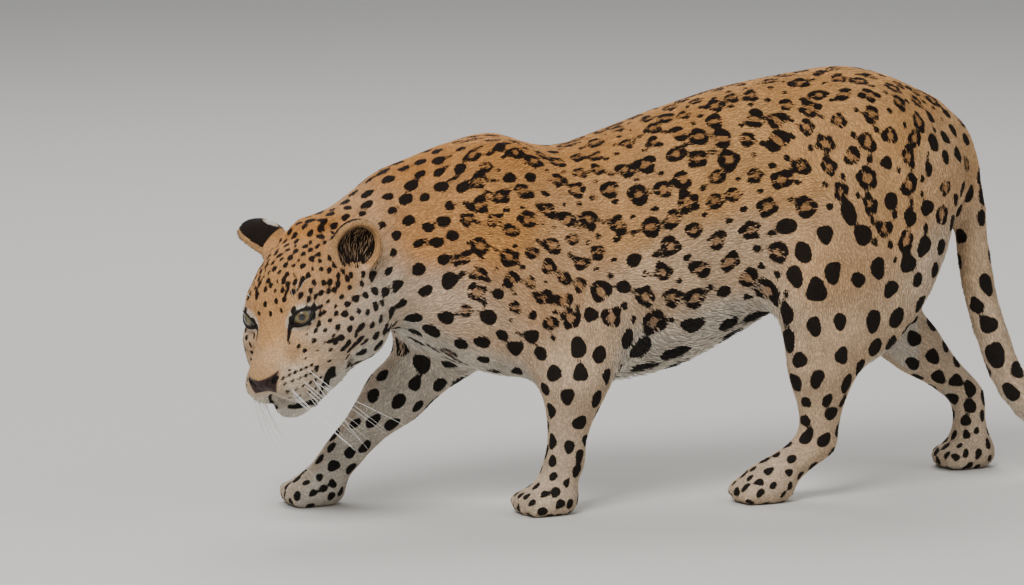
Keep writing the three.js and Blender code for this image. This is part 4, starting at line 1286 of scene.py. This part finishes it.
tip_fields = paint(leaf[:, 4], root_normals)
# Locks inside the ear are painted black as painted shade in its hollow; the few light locks keep their
# pale colour.
ear_hollow_shade_ink = np.where(ear_light, 6.0, -2.0)
for ends in (fields, tip_fields):
    ends["ink"] = np.where(in_ear, ear_hollow_shade_ink, ends["ink"])
leaf_normals = np.stack([
    root_normals - 0.2 * way,
    root_normals + 0.4 * side,
    root_normals - 0.4 * side,
    root_normals,
    root_normals + 0.3 * way,
], 1)
leaf_normals /= np.linalg.norm(leaf_normals, axis=2, keepdims=True)
LEAF_FACES = np.array([(0, 3, 1), (0, 2, 3), (1, 3, 4), (3, 2, 4), (0, 1, 2), (1, 4, 2)])
LEAF_ALONG = np.array([0.0, 0.45, 0.45, 0.42, 1.0])
leaf_fields = {}
for name, root in fields.items():
    leaf_fields[name] = root[:, None] + (tip_fields[name] - root)[:, None] * LEAF_ALONG
leaf_fields["shade"] = np.repeat(coat_rng.random(MOST_LOCKS), 5).reshape(-1, 5)
# tip runs from 0 at a lock's root to 1 at its tip and sets its painted root shade.
leaf_fields["tip"] = np.tile(LEAF_ALONG, (MOST_LOCKS, 1))
PATCH = 0.0015  # half the width of a lock's place on the bake's map
LEAF_UV = np.array([(0, -1), (-1, 0), (1, 0), (0, 0.2), (0, 1)]) * PATCH
print("locks are", round(float(length.min()), 1), "to", round(float(length.max()), 1), "mm long")

# %% Coat pieces from head to tail
COAT_PIECES = ["coat_face", "coat_crown", "coat_neck", "coat_shoulders", "coat_chest", "coat_flank",
               "coat_loin", "coat_thighs", "coat_tail"]
sorted_roots = np.argsort(roots[:, 0])
for name, chosen in zip(COAT_PIECES, np.array_split(sorted_roots, len(COAT_PIECES))):
    faces = (LEAF_FACES[None] + 5 * np.arange(len(chosen))[:, None, None]).reshape(-1, 3)
    piece = mesh_from(name, leaf[chosen].reshape(-1, 3), faces, coat)
    store(piece, {key: values[chosen].ravel() for key, values in leaf_fields.items()})
    layer = piece.data.uv_layers.new(name=BAKE_MAP)
    patch = np.clip(root_uv[chosen][:, None] + LEAF_UV[None], 0, 1).reshape(-1, 2)
    layer.data.foreach_set("uv", patch[faces.ravel()].astype(np.float32).ravel())
    piece.data.normals_split_custom_set_from_vertices(leaf_normals[chosen].reshape(-1, 3))
    print(name, len(faces), "triangles")

# %% The hide stands for the flesh
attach(skin, "root")
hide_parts(*[name for name in flesh_nodes if name not in EYES])
print("the hide stands for", len(flesh_nodes) - len(EYES), "solids")

# %% [markdown]
# ## Floor and light
# A plain pale floor and large soft lamps show form and coat evenly, as in a museum's studio.

# %% Floor, lamps and surroundings
bpy.ops.mesh.primitive_plane_add(size=30, location=(0, 0, 0))
floor = bpy.context.object
floor.name = "floor"
floor_material, _, _, shader = new_material("floor")
shader.inputs["Base Color"].default_value = (0.62, 0.60, 0.56, 1)
shader.inputs["Roughness"].default_value = 0.9
floor.data.materials.append(floor_material)

LAMPS = [
    # place, size and power
    ((-2.6, -3.0, 4.0), 2.2, 260),
    ((3.2, -2.6, 2.6), 3.0, 40),
    ((0.5, 3.0, 3.8), 3.0, 110),
]
for place, size, power in LAMPS:
    aim = Vector(place) - Vector((0, 0, 0.3))
    turn = aim.to_track_quat("Z", "Y").to_euler()
    bpy.ops.object.light_add(type="AREA", location=place, rotation=turn)
    bpy.context.object.data.size = size
    bpy.context.object.data.energy = power
world = bpy.data.worlds.new("surroundings")
world.use_nodes = True
world.node_tree.nodes["Background"].inputs["Color"].default_value = (0.80, 0.82, 0.85, 1)
world.node_tree.nodes["Background"].inputs["Strength"].default_value = 0.5
bpy.context.scene.world = world
print("lamps:", len(LAMPS))
